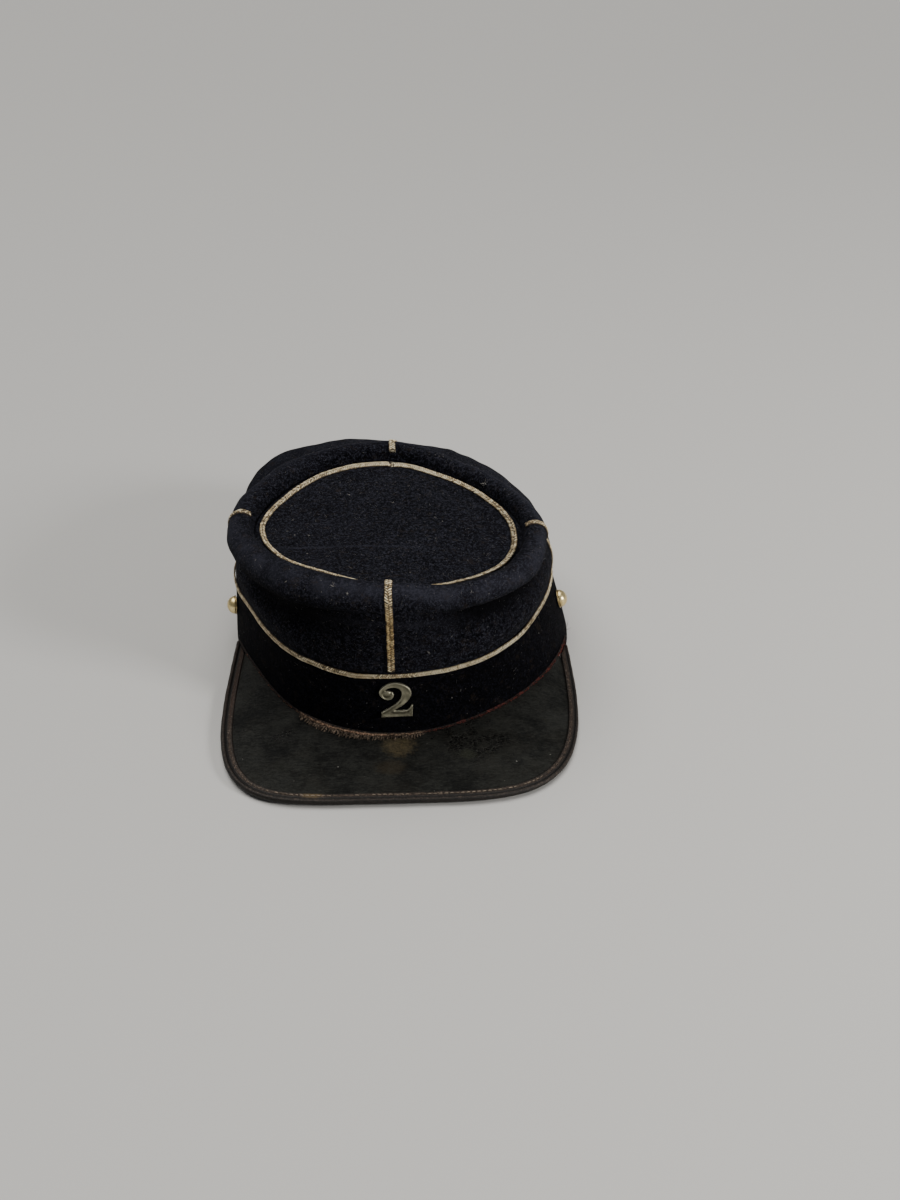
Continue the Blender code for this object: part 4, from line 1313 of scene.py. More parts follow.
def button_profile():
    """(radius, height) from the dome's top to its back: a quarter ellipse, a fine groove, a
    half-round rim and a flat back."""
    angle = np.radians(np.linspace(88, 4, 30))
    foot = 0.85
    dome = together((BUTTON_RADIUS - 0.3) * np.cos(angle), foot + (BUTTON_HEIGHT - foot) * np.sin(angle))
    groove = [(BUTTON_RADIUS - 0.36, 0.82)]
    angle = np.radians(np.linspace(120, -60, 9))
    rim = together(BUTTON_RADIUS - 0.38 + 0.38 * np.cos(angle), 0.42 + 0.38 * np.sin(angle))
    back = [(BUTTON_RADIUS - 0.7, 0), (1.2, 0)]
    return np.concatenate([dome, groove, rim, back])


def spun(profile, origin, axis):
    """A profile spun about an axis: radius times cosine and sine across it, height along it. The
    two ends are closed by a point on the axis."""
    first = unit(np.cross([0, 0, 1], axis))
    second = np.cross(axis, first)
    angle = np.arange(BUTTON_STEPS) * 2 * math.pi / BUTTON_STEPS
    ring = np.cos(angle)[:, None] * first + np.sin(angle)[:, None] * second
    points = origin + profile[None, :, :1] * ring[:, None] + profile[None, :, 1:] * axis
    rows, columns = points.shape[:2]
    poles = origin + np.array([[BUTTON_HEIGHT], [0]]) * axis
    fans = pole_fans(rows, columns, rows * columns, rows * columns + 1)
    faces = [grid_faces(rows, columns, close_rows=True), fans]
    return np.concatenate([points.reshape(-1, 3), poles]), faces


def make_button(side, turn):
    """The profile spun about the band's normal: a step round it crossed with a step up it."""
    here, above = band_point(turn, BUTTON_UP), band_point(turn, BUTTON_UP + 1)
    beside = band_point(turn + 0.5, BUTTON_UP)
    outward = unit(np.cross(beside - here, above - here))
    profile = button_profile()
    points, faces = spun(profile, here + 0.35 * outward, outward)
    rim = np.concatenate([np.tile(smooth_step(-profile[:, 1], -1.6, -0.6), BUTTON_STEPS), [0, 1]])
    make_piece(f"{side}_button_dome", points, faces, f"{side}_button", {"rim": rim})


for side, turn in BUTTON_TURNS.items():
    make_button(side, turn)

# %% [markdown]
# ## The figure on the band
#
# The figure is cast in white metal: a flat plate with a gently domed face and a filed edge, which its
# finish paints bright as a highlight.
# A filled curve with a bevel would give it one slope all round. Here its face is a field instead:
# a grid of points covers it, each knows its distance to the outline, the points just outside are
# pulled onto the outline, and the height follows the distance. The rim of the sheet then gets side
# walls and a back.

# %% Outline of the figure
NUMERAL_MIDDLE = np.array([7.5, 9.5])
NUMERAL_SCALE = np.array([0.97, 0.897])
NUMERAL_RIGHT = 1.25
NUMERAL_UP = 23.4
NUMERAL_THICKNESS = 1.2
# The flowing part of the outline, from the foot's left end up the stem, round the curl and down
# the bowl, then the straight foot; right and up in millimetres.
FIGURE_FLOW = [
    (0.8, 2.8), (4.6, 5.3), (7.2, 7.3), (9.1, 9.5), (10, 12), (9.8, 14.2), (8.2, 15.9), (5.9, 16.2),
    (3.9, 15.7), (2.8, 14.4), (4.5, 14.2), (6, 13.6), (6.6, 12), (6, 10.4), (4.5, 9.6), (2.6, 9.8),
    (0.9, 11.2), (0, 13.4), (0.9, 15.8), (3.4, 17.9), (7.2, 18.9), (11.2, 17.7), (13.6, 15.6),
    (14.4, 13), (13.4, 9.9), (11, 6.9), (8.2, 4.9), (6.6, 3.7),
]
FIGURE_FOOT = [(10.4, 3.55), (12.4, 4), (13.6, 5.2), (14.3, 6.8), (15, 6.8), (14.8, 0.4), (0.8, 0)]
CURL_MIDDLE = np.array([3.6, 12.6])
EDGE_ROUND = 0.28         # radius of the face's edge
DISH = 0.14               # how far the middle of the face is sunk below its rim
FIGURE_GAP = 0.18         # from the band to the figure's back


def figure_outline():
    """The flow as a smooth curve with eight points a span, and the foot as straight lines."""
    places = np.linspace(0, len(FIGURE_FLOW) - 1, 8 * len(FIGURE_FLOW))
    flow = spline(np.array(FIGURE_FLOW)[None], places)[0]
    return (np.concatenate([flow, FIGURE_FOOT]) - NUMERAL_MIDDLE) * NUMERAL_SCALE


print("figure, mm:", np.ptp(figure_outline(), axis=0).round(1))

# %% Face of the figure


def outline_distance(points, outline):
    """Distance to a closed outline, positive inside, and the nearest point on it. A point is
    inside if a line from it to the right crosses the outline an odd number of times."""
    start, end = outline, np.roll(outline, -1, axis=0)
    step = end - start
    part = np.einsum("pks,ks->pk", points[:, None] - start[None], step) / (step**2).sum(axis=-1)
    nearest = start[None] + np.clip(part, 0, 1)[..., None] * step[None]
    distance = np.linalg.norm(points[:, None] - nearest, axis=-1)
    best = distance.argmin(axis=1)
    rows = np.arange(len(points))
    y = points[:, 1:2]
    crosses = (start[None, :, 1] > y) != (end[None, :, 1] > y)
    safe = np.where(np.abs(step[:, 1]) < 1e-9, 1e-9, step[:, 1])
    at = start[None, :, 0] + (y - start[None, :, 1]) / safe * step[None, :, 0]
    inside = (crosses & (at > points[:, :1])).sum(axis=1) % 2 == 1
    return np.where(inside, 1, -1) * distance[rows, best], nearest[rows, best]


def figure_sheet(spacing=0.17):
    """The grid's cells that touch the figure, with the corners outside it pulled onto the outline."""
    outline = figure_outline()
    low, high = outline.min(axis=0) - spacing, outline.max(axis=0) + spacing
    x, y = np.arange(low[0], high[0], spacing), np.arange(low[1], high[1], spacing)
    grid = together(*np.meshgrid(x, y, indexing="ij")).reshape(-1, 2)
    distance, nearest = outline_distance(grid, outline)
    cells = grid_faces(len(x), len(y))
    cells = cells[(distance[cells] > 0).any(axis=1)]
    close = distance < 0.35 * spacing
    grid = np.where(close[:, None], nearest, grid)
    distance = np.where(close, 0, distance)
    used, cells = np.unique(cells, return_inverse=True)
    return grid[used], distance[used], cells.reshape(-1, 4)


def make_figure():
    """The sheet's face is raised by a quarter circle of the distance to the outline, sunk a little
    further in, and the curl has a ball with a groove round it, both bell curves of the distance
    from its middle. The back is flat, and each edge that only one cell has gets a side wall."""
    flat, distance, cells = figure_sheet()
    count = len(flat)
    rounded = np.sqrt(np.clip(1 - (1 - np.clip(distance / EDGE_ROUND, 0, 1)) ** 2, 0, 1))
    hollow = DISH * smooth_step(distance, 0.35, 1.5)
    ball_away = np.linalg.norm(flat - (CURL_MIDDLE - NUMERAL_MIDDLE) * NUMERAL_SCALE, axis=-1)
    ball = 0.34 * bell(ball_away, 0, 0.95) - 0.26 * bell(ball_away, 1.85, 0.38)
    face_up = NUMERAL_THICKNESS - EDGE_ROUND + EDGE_ROUND * rounded - hollow + ball
    up_band = unit(band_point(270, BAND_HEIGHT) - band_point(270, 0))
    across = np.array([1, 0, 0])
    outward = unit(np.cross(across, up_band))
    origin = band_point(270, NUMERAL_UP) + [NUMERAL_RIGHT, 0, 0]
    back = origin + flat[:, :1] * across + flat[:, 1:] * up_band + outward * FIGURE_GAP
    face = back + outward * face_up[:, None]
    edges = np.concatenate([cells[:, [k, (k + 1) % 4]] for k in range(4)])
    _, first, copies = np.unique(np.sort(edges, axis=1), axis=0, return_index=True, return_counts=True)
    rim = edges[first[copies == 1]]
    walls = together(rim[:, 1], rim[:, 0], rim[:, 0] + count, rim[:, 1] + count)
    faces = [np.concatenate([cells, cells[:, ::-1] + count, walls])]
    values = {"edge": np.tile(np.exp(-distance / 0.20), 2)}
    make_piece("figure_plate", np.concatenate([face, back]), faces, "numeral", values)


make_figure()

# %% [markdown]
# ## Lint, stray hairs and a loose thread
#
# Dark wool shows every pale fibre. Thousands of short hairs lie on the cloth and give it its dusty
# look. Some bits are bigger, and a dark thread end sticks out by the right button. Random numbers
# choose places on the same grids that made the surfaces, so each hair starts exactly on the cloth
# and the result is the same each time.

# %% Where the lint lies
# Larger bits: on which surface, turn, place on it (crown: profile place, band: height, top: share),
# length of their hairs and how many.
LINT_BITS = [
    ("crown", 257.5, 6.52, 1.1, 7), ("crown", 252.5, 7.07, 1.5, 7), ("crown", 281, 0.86, 1.3, 8),
    ("crown", 35.5, 8.86, 2.4, 12), ("crown", 298, 7.12, 1.2, 5), ("crown", 318.5, 8.76, 1, 4),
    ("crown", 236, 6.67, 0.9, 4), ("band", 210, 5.32, 1.2, 5), ("band", 337, 6.5, 2.2, 10),
    ("band", 236, 30.5, 1, 4), ("top", 125.5, 0.61, 1.1, 6), ("top", 88.5, 0.37, 1.2, 5),
    ("top", 194.5, 0.66, 1, 5), ("top", 76.5, 0.69, 0.8, 4), ("top", 172.5, 0.79, 1, 5),
    ("top", 16, 0.40, 0.9, 5), ("top", 216.5, 0.80, 0.9, 4), ("top", 228.5, 0.74, 1, 4),
]
LINT_SURFACES = {
    "crown": crown_skin,
    "band": lambda turn, up: band_point(turn[:, None], up[None, :]),
    "top": lambda turn, share: top_skin(turn[:, None], share[None, :]),
}
SCATTERED = [             # surface, places from and to, how many hairs
    ("crown", 0.3, 9.2, 2700), ("band", 3.5, 33, 500), ("top", 0.96, 0.02, 1100),
]


print(sum(row[-1] for row in SCATTERED), "hairs and", len(LINT_BITS), "bits of lint")

# %% Lint


def scattered(grid, count, rng):
    """Points and normals at random places on a grid: cells are chosen in proportion to their area,
    and a point lies a random share of the way along each side of its cell."""
    along_rows = np.roll(grid, -1, axis=0)[:, :-1] - grid[:, :-1]
    along_columns = grid[:, 1:] - grid[:, :-1]
    square = np.cross(along_rows, along_columns)
    area = np.linalg.norm(square, axis=-1).ravel()
    chosen = rng.choice(area.size, count, p=area / area.sum())
    part = rng.random((count, 2, 1))
    points = (grid[:, :-1].reshape(-1, 3)[chosen] + part[:, 0] * along_rows.reshape(-1, 3)[chosen]
              + part[:, 1] * along_columns.reshape(-1, 3)[chosen])
    return points, unit(square).reshape(-1, 3)[chosen]


def make_lint():
    """Hairs rooted on the surfaces, lying nearly flat: each heads in a random direction along the
    surface plus a little of its normal."""
    rng = np.random.default_rng(121)
    parts = []
    for surface, low, high, count in SCATTERED:
        grid = LINT_SURFACES[surface](turns, np.linspace(low, high, 90))
        parts.append((*scattered(grid, count, rng), np.clip(rng.lognormal(-0.45, 0.55, count), 0.25, 2.6),
                      rng.uniform(0.014, 0.034, count), rng.beta(1.3, 2.2, count) * 0.85))
    step = np.array([-1, 0, 1])
    for surface, turn, place, length, count in LINT_BITS:
        patch = LINT_SURFACES[surface](turn + 0.15 * step, place + 0.01 * step)
        spread = rng.normal(0, 0.22 * length, (count, 3)) * [1, 1, 0.15]
        parts.append((patch[1, 1] + spread, np.tile(grid_normals(patch)[1, 1], (count, 1)),
                      length * rng.uniform(0.6, 1.1, count), rng.uniform(0.03, 0.06, count),
                      rng.uniform(0.6, 1, count)))
    roots, normals, lengths, radii, tones = map(np.concatenate, zip(*parts))
    outwards = (normals * (roots - [MIDDLE_X, 0, 40])).sum(axis=-1, keepdims=True)
    normals = normals * np.where(outwards < 0, -1, 1)
    level = np.cross(normals, rng.normal(size=roots.shape))
    heading = unit(level) + rng.uniform(0.05, 0.55, (len(roots), 1)) * normals
    points = hairs(roots - 0.02 * normals, heading, lengths, radii, rng, curl=0.6)
    make_piece("lint_hairs", points, tube_faces(len(roots), 4, 3), (), {"tone": tones[:, None, None]})


def make_thread_end():
    """A dark thread that leaves the band's cloth by the right tip of the peak: three curls, each a
    tube round a line that bends as the square of its length."""
    rng = np.random.default_rng(131)
    root = np.array([[79, -30.4, 14.6], [79.1, -30.6, 14.2], [78.9, -30, 15]])
    heading = np.array([[2.2, 1.9, 1.6], [2.6, 0.9, 0.3], [1.5, 2, 2.6]])
    points = hairs(root, heading, [4.6, 3.2, 2.6], [0.16, 0.11, 0.09], rng, curl=0.45, rings=9, sides=5)
    make_piece("thread_end", points, tube_faces(3, 9, 5), ())


make_lint()
make_thread_end()

# %% [markdown]
# ## Building finishes from nodes
#
# Every finish below is worked out by Blender's shader nodes, so it has no seams and no limit of
# resolution. The patterns read the Object coordinate, here the cap's own space in metres, so a
# noise of scale 1000 has features about a millimetre wide. A few short helpers keep each finish
# readable: what a node puts out is a wire, signs between wires add Math nodes, and the
# other helpers name the nodes that are used most.

# %% Node helpers


class Wire:
    """What a node puts out. A sign between two wires, or a wire and a number, adds a Math node."""

    def __init__(self, node, output=0):
        self.tree = node.id_data
        self.socket = node.outputs[output]

    def maths(self, operation, other, clamp=False):
        """The result of a Math node that takes this wire and another wire or number."""
        inputs = {0: self, 1: other}
        return Wire(add_node(self.tree, "Math", inputs, operation=operation, use_clamp=clamp))

    def __add__(self, other):
        return self.maths("ADD", other)

    def __sub__(self, other):
        return self.maths("SUBTRACT", other)

    def __mul__(self, other):
        return self.maths("MULTIPLY", other)

    def __truediv__(self, other):
        return self.maths("DIVIDE", other)


def add_node(tree, kind, inputs=None, **settings):
    """A node with its settings, and with each input set to a value or joined to a wire."""
    node = tree.nodes.new("ShaderNode" + kind)
    for name, value in settings.items():
        setattr(node, name, value)
    for name, value in (inputs or {}).items():
        if isinstance(value, Wire):
            tree.links.new(value.socket, node.inputs[name])
        else:
            node.inputs[name].default_value = value
    return node


def noise(place, scale, detail=3, roughness=0.55, distortion=0):
    """A Noise texture's grey value, about 0.3 to 0.7 with a mean of 0.5."""
    inputs = {"Vector": place, "Scale": scale, "Detail": detail, "Roughness": roughness}
    return Wire(add_node(place.tree, "TexNoise", inputs | {"Distortion": distortion}))


def between(value, low, high, first=0, last=1):
    """`first` where the value is under `low`, `last` where it is over `high`, smooth between."""
    inputs = {"Value": value, "From Min": low, "From Max": high, "To Min": first, "To Max": last}
    return Wire(add_node(value.tree, "MapRange", inputs, interpolation_type="SMOOTHSTEP"))


def blend(share, first, second, kind="MIX"):
    """`first` where the share is 0 and `second` where it is 1; a colour is a wire or (r, g, b)."""
    first, second = (c if isinstance(c, Wire) else (*c, 1) for c in (first, second))
    inputs = {0: share, 6: first, 7: second}
    return Wire(add_node(share.tree, "Mix", inputs, data_type="RGBA", blend_type=kind), 2)


def layered(colour, *layers):
    """A colour with others laid over it, each given as its mask and the colour itself."""
    for mask, layer in layers:
        colour = blend(mask, colour, layer)
    return colour


def stretched(place, scale, turn=(0, 0, 0)):
    """Coordinates turned and scaled by a different amount in each direction."""
    return Wire(add_node(place.tree, "Mapping", {"Vector": place, "Scale": scale, "Rotation": turn}))


def stored(place, name):
    """The value that the mesh stores at each point under this name, or 0 if it stores none."""
    return Wire(add_node(place.tree, "Attribute", attribute_name=name), "Fac")


def bump(height, strength, distance):
    """The normal bent by a height; `distance` is in metres."""
    inputs = {"Height": height, "Strength": strength, "Distance": distance}
    return Wire(add_node(height.tree, "Bump", inputs))


def new_material(name, **constants):
    """A material whose shader has its constant inputs set on its own sockets, their names given
    with _ for a blank, and the Object coordinates that its patterns read."""
    material = bpy.data.materials.new(name)
    material.use_nodes = True
    tree = material.node_tree
    for key, value in constants.items():
        tree.nodes["Principled BSDF"].inputs[key.replace("_", " ")].default_value = value
    return material, Wire(add_node(tree, "TexCoord"), "Object")


def finished(material, colour, roughness, normal=None, metallic=None):
    """The material with everything that varies over its surface joined to its shader."""
    tree = material.node_tree
    ends = {"Base Color": colour, "Roughness": roughness, "Normal": normal, "Metallic": metallic}
    for name, wire in ends.items():
        if wire:
            tree.links.new(wire.socket, tree.nodes["Principled BSDF"].inputs[name])
    return material


print("node helpers ready")

# %% [markdown]
# ## Effects that several finishes share
#
# Three effects turn up again and again on an old cap: patches where a surface is worn, specks of
# lint, and single spots at a known place, such as a stain. Each is a node group, made once and
# placed in every finish that needs it. A group hands out a mask only: the shader that uses it
# stays in the material.

# %% Shared node groups


def new_group(name, vectors, **numbers):
    """A node group with its vector and number inputs, as wires, and an output for its mask."""
    tree = bpy.data.node_groups.new(name, "ShaderNodeTree")
    for vector in vectors:
        tree.interface.new_socket(vector, in_out="INPUT", socket_type="NodeSocketVector")
    for number, value in numbers.items():
        made = tree.interface.new_socket(number, in_out="INPUT", socket_type="NodeSocketFloat")
        made.default_value = value
    tree.interface.new_socket("Mask", in_out="OUTPUT", socket_type="NodeSocketFloat")
    inside = tree.nodes.new("NodeGroupInput")
    return [Wire(inside, socket) for socket in (*vectors, *numbers)]


def closed_group(mask):
    """The group that a mask was worked out in, with the mask joined to its output."""
    mask.tree.links.new(mask.socket, mask.tree.nodes.new("NodeGroupOutput").inputs["Mask"])
    return mask.tree


def use_group(group, place, **inputs):
    """The mask of a node group placed in the material that `place` belongs to."""
    return Wire(add_node(place.tree, "Group", {"Place": place} | inputs, node_tree=group), "Mask")


def make_patches():
    """Worn patches: two noises of different size added, then cut at a level with a soft edge."""
    place, scale, level, softness = new_group("worn_patches", ["Place"], Scale=100, Level=0.5, Softness=0.1)
    both = noise(place, scale, 4, 0.6) * 0.65 + noise(place, scale * 5.3, 3, 0.6) * 0.35
    return closed_group(((both - level) / softness).maths("ADD", 0.5, clamp=True))


def make_specks():
    """Lint specks: a cell texture marks the points nearer to a cell's middle than a radius, and
    only in the share of cells whose random colour is low enough; a noise frays their outline."""
    place, scale, radius, share = new_group("lint_specks", ["Place"], Scale=500, Radius=0.2, Share=0.1)
    tree = place.tree
    fray = Wire(add_node(tree, "TexNoise", {"Vector": place, "Scale": scale * 2.5}), "Color")
    reach = Wire(add_node(tree, "Math", {0: 0.9, 1: scale}, operation="DIVIDE"))
    offset = Wire(add_node(tree, "VectorMath", {0: fray, 1: (0.5, 0.5, 0.5)}, operation="SUBTRACT"))
    moved = Wire(add_node(tree, "VectorMath", {0: offset, "Scale": reach}, operation="SCALE"))
    frayed = Wire(add_node(tree, "VectorMath", {0: place, 1: moved}, operation="ADD"))
    cells = add_node(tree, "TexVoronoi", {"Vector": frayed, "Scale": scale})
    chosen = Wire(add_node(tree, "SeparateColor", {0: Wire(cells, "Color")}))
    near = Wire(cells, "Distance").maths("LESS_THAN", radius)
    return closed_group(near * chosen.maths("LESS_THAN", share))


def make_spot():
    """A spot: 1 at its centre and 0 at a distance of 1, where distance is measured in its own
    reach along each axis and a noise makes it ragged."""
    place, centre, reach, ragged = new_group("ragged_spot", ["Place", "Centre", "Reach"], Ragged=0.5)
    away = Wire(add_node(place.tree, "VectorMath", {0: place, 1: centre}, operation="SUBTRACT"))
    share = Wire(add_node(place.tree, "VectorMath", {0: away, 1: reach}, operation="DIVIDE"))
    distance = Wire(add_node(place.tree, "VectorMath", {0: share}, operation="LENGTH"), "Value")
    total = distance + (noise(place, 520, 5, 0.7) - 0.5) * ragged
    return closed_group(between(total, 0.35, 1, 1, 0))


WORN_PATCHES, LINT_SPECKS, RAGGED_SPOT = make_patches(), make_specks(), make_spot()


def patches(place, scale, level, softness):
    """Where the surface is worn, in patches."""
    return use_group(WORN_PATCHES, place, Scale=scale, Level=level, Softness=softness)


def specks(place, scale, radius, share):
    """Where a speck of lint lies."""
    return use_group(LINT_SPECKS, place, Scale=scale, Radius=radius, Share=share)


def spot(place, centre, reach, ragged=0.8):
    """A ragged spot at a place given in millimetres on the cap."""
    there, size = tuple((np.array(centre) + SHIFT) * MM), tuple(np.array(reach) * MM)
    return use_group(RAGGED_SPOT, place, Centre=there, Reach=size, Ragged=ragged)


print("node groups:", [group.name for group in bpy.data.node_groups])

# %% [markdown]
# ## Fulled wool
#
# The cap's cloth is wool that was washed and beaten until its threads vanished under a felt of
# fibres. What shows is a nap: tiny tangled hairs, lighter where they stand up. A noise with a
# strong distortion curls like that felt. The shader's sheen gives the pale bloom that wool has at
# a grazing angle. Folded ridges are worn lighter, lint clings everywhere, and hardly any light
# gets into the folds under the roll, so the value stored there darkens them.

# %% Wool


def make_wool(name, dark, light, lint, sheen):
    """Navy wool between a dark and a light colour, with a share of lint and some sheen."""
    wool, place = new_material(name, Sheen_Weight=sheen, Sheen_Roughness=0.5,
                               Sheen_Tint=(0.75, 0.78, 0.9, 1), Specular_IOR_Level=0.04)
    nap = noise(place, 1400, 4, 0.72, 1.4) * 0.6 + noise(place, 760, 4, 0.65, 0.7) * 0.4
    lightness = between(nap, 0.49, 0.585) + patches(place, 42, 0.52, 0.22) * 0.12
    browned = patches(place, 230, 0.60, 0.10)
    dust, fluff = specks(place, 1000, 0.24, lint * 1.6), specks(place, 520, 0.13, lint)
    colour = layered(
        blend(lightness + stored(place, "worn") * 0.55, dark, light),
        (browned * 0.35, (0.030, 0.022, 0.016)),
        (dust * 0.30, (0.20, 0.19, 0.18)),
        (fluff * 0.45, (0.34, 0.32, 0.29)),
        # Painted shade: almost black in the crease under the roll.
        (stored(place, "fold_shade") * 0.93, (0.0003, 0.0003, 0.0006)),
    )
    return finished(wool, colour, between(nap, 0.35, 0.65, 0.98, 0.84), bump(nap, 1, 0.0006))


crown_wool = make_wool("crown_wool", (0.0008, 0.0009, 0.0016), (0.0265, 0.0272, 0.0375), 0.030, 0.008)
# Painted shade: the band's wool is the crown's wool made several times darker, since its upright face gets
# less of the light from above.
shaded_band_wool = make_wool("shaded_band_wool", (0.0003, 0.0003, 0.0005), (0.0064, 0.0064, 0.0100), 0.018, 0.006)
print("wool ready")

# %% [markdown]
# ## Tarnished metal braid
#
# The braid's wire was silvered and gilt. Skin and air have turned its hollows bronze-brown, while
# the rubbed crests stay pale gold, so the colour follows how high a point lies on its strand. A
# slow noise makes whole stretches duller, each strand has its own tone, and only the small spots
# that a fine noise picks on the crests still shine like metal. Some of the colour is painted light:
# wide spots on the ring's front right and on the oval's back are made paler as painted highlights,
# and another fine noise in the colour stands partly for tone and partly for painted glints. The
# oval is darker at its left and right sides.

# %% Metal braid


def make_braid_metal():
    """From dark bronze in the pits to pale gold on the crests, with glints; duller in patches, and paler in
    two painted highlights.
    """
    braid, place = new_material("tarnished_braid", Specular_IOR_Level=0.5)
    oval_line = oval_path()[0]
    quarter = len(oval_line) // 4
    # Painted highlights: the ring's front right and the oval's back are made paler, where they catch the
    # light.
    paler = spot(place, band_point(300, BAND_HEIGHT), (48, 32, 16), 0.5)
    paler = paler.maths("MAXIMUM", spot(place, oval_line[0], (45, 25, 20), 0.5))
    # Darker at the oval's left and right sides.
    darker_sides = spot(place, oval_line[quarter], (22, 40, 20), 0.5)
    darker_sides = darker_sides.maths("MAXIMUM", spot(place, oval_line[3 * quarter], (22, 40, 20), 0.5))
    height = stored(place, "crest") + (stored(place, "tone") - 0.5) * 0.8
    # Paler in the painted highlights, darker at the oval's sides, and a fine noise that stands partly for
    # tone and partly for painted glints.
    height = height + paler * 0.30 - darker_sides * 0.18 + (noise(place, 2500, 2) - 0.5) * 3.4
    bronze = blend(between(height, 0.22, 0.76), (0.040, 0.025, 0.012), (0.76, 0.58, 0.31))
    gold = blend(between(height, 0.66, 1.10), bronze, (1, 0.93, 0.70))
    colour = blend(patches(place, 240, 0.50, 0.20) * 0.45, gold, (0.68, 0.57, 0.44), "MULTIPLY")
    low_front = spot(place, upright_path(UPRIGHT_BRAIDS["front"])[0][45], (8, 30, 25), 0.4)
    colour = blend(low_front * 0.9, colour, (0.76, 0.65, 0.44), "MULTIPLY")
    glint = between(noise(place, 3300, 1), 0.52, 0.60) * between(height, 0.5, 0.9)
    metallic = between(glint, 0, 1, 0.08, 0.85)
    roughness = between(glint, 0, 1, 0.50, 0.30)
    return finished(braid, colour, roughness, bump(noise(place, 2300, 2), 1, 0.0004), metallic)


braid_metal = make_braid_metal()
print("braid ready")

# %% [markdown]
# ## Peak leather
#
# The peak was blackened and waxed, and a century has turned it a mottled grey-green. It has a fine
# grain that runs across the peak like brushed streaks, a few glossy patches where the old varnish
# is still there and has crackled, and an ochre stain in the middle under the torn seam. Streaks
# are a noise squeezed in one direction; the crackle is the edge lines of a cell texture.

# %% Leather of the peak


def make_peak_leather():
    """Grey-green leather with streaks; glossy crackled patches and a stain at their own places."""
    leather, place = new_material("peak_hide", Specular_IOR_Level=0.13)
    streak = noise(stretched(place, (0.45, 1, 1), (0, 0, 0.10)), 900, 5, 0.7, 0.6)
    grain = noise(stretched(place, (0.5, 1, 1), (0, 0, -0.25)), 2100, 3, 0.7)
    fine = streak * 0.5 + grain * 0.5
    mixed = fine * 0.55 + noise(place, 55, 5, 0.62, 0.4) * 0.45
    colour = blend(between(mixed, 0.41, 0.60), (0.0024, 0.0026, 0.0024), (0.0180, 0.0184, 0.0160))
    colour = blend(patches(place, 30, 0.54, 0.12) * 0.30, colour, (0.0155, 0.0140, 0.0100))
    for turn, scale in ((0.30, 1500), (-0.12, 1900), (0.75, 1300)):
        scratches = noise(stretched(place, (0.14, 1, 1), (0, 0, turn)), scale, 2, 0.5, 0.4)
        colour = blend(between(scratches, 0.60, 0.70) * 0.28, colour, (0.040, 0.040, 0.035))
    varnished = spot(place, (31, -105, 7), (24, 16, 20), 2)
    varnished = varnished.maths("MAXIMUM", spot(place, (-52, -98, 7), (9, 8, 20), 2.4))
    glossy = varnished * patches(place, 150, 0.49, 0.10) * 0.95
    cells = {"Vector": stretched(place, (0.7, 1, 1)), "Scale": 760}
    to_edge = Wire(add_node(place.tree, "TexVoronoi", cells, feature="DISTANCE_TO_EDGE"), "Distance")
    cracks = between(to_edge, 0.02, 0.09, 1, 0)
    ochre = spot(place, (-1.8, -106.5, 6), (9.5, 9, 20), 1.2) * between(fine, 0.36, 0.62, 0.35, 1)
    green = spot(place, (27.8, -113.3, 6), (5, 4, 20), 1.2)
    brown = spot(place, (-5.6, -119.5, 6), (9, 6, 20), 1.2)
    colour = layered(
        colour,
        (glossy, blend(cracks, (0.0008, 0.0008, 0.0008), (0.034, 0.033, 0.028))),
        (ochre * 0.85, (0.078, 0.060, 0.031)),
        (green * 0.5, (0.030, 0.032, 0.022)),
        (brown * 0.45, (0.034, 0.026, 0.015)),
        (specks(place, 340, 0.11, 0.04) * 0.6, (0.30, 0.29, 0.26)),
    )
    roughness = between(fine, 0.35, 0.65, 0.72, 0.50)
    roughness = Wire(add_node(place.tree, "Mix", {0: glossy, 2: roughness, 3: 0.24}))
    return finished(leather, colour, roughness, bump(fine - cracks * glossy * 0.5, 0.85, 0.0006))


peak_hide = make_peak_leather()
print("peak leather ready")

# %% [markdown]
# ## Leather of the binding, thread and seam
#
# The binding is a softer, browner leather. Its outer roll is still black and a little shiny, and the
# inner ridge is rubbed through to brown with paler flecks. The valley between is painted dark as
# shade, and so is a thin line at the flap's inner edge. These zones are stored on the mesh as ridge
# and valley_shade, because they follow the binding's own section.
# The torn seam has an orange-brown edge above and grey-brown shreds below, and is red on the right.

# %% Binding and thread


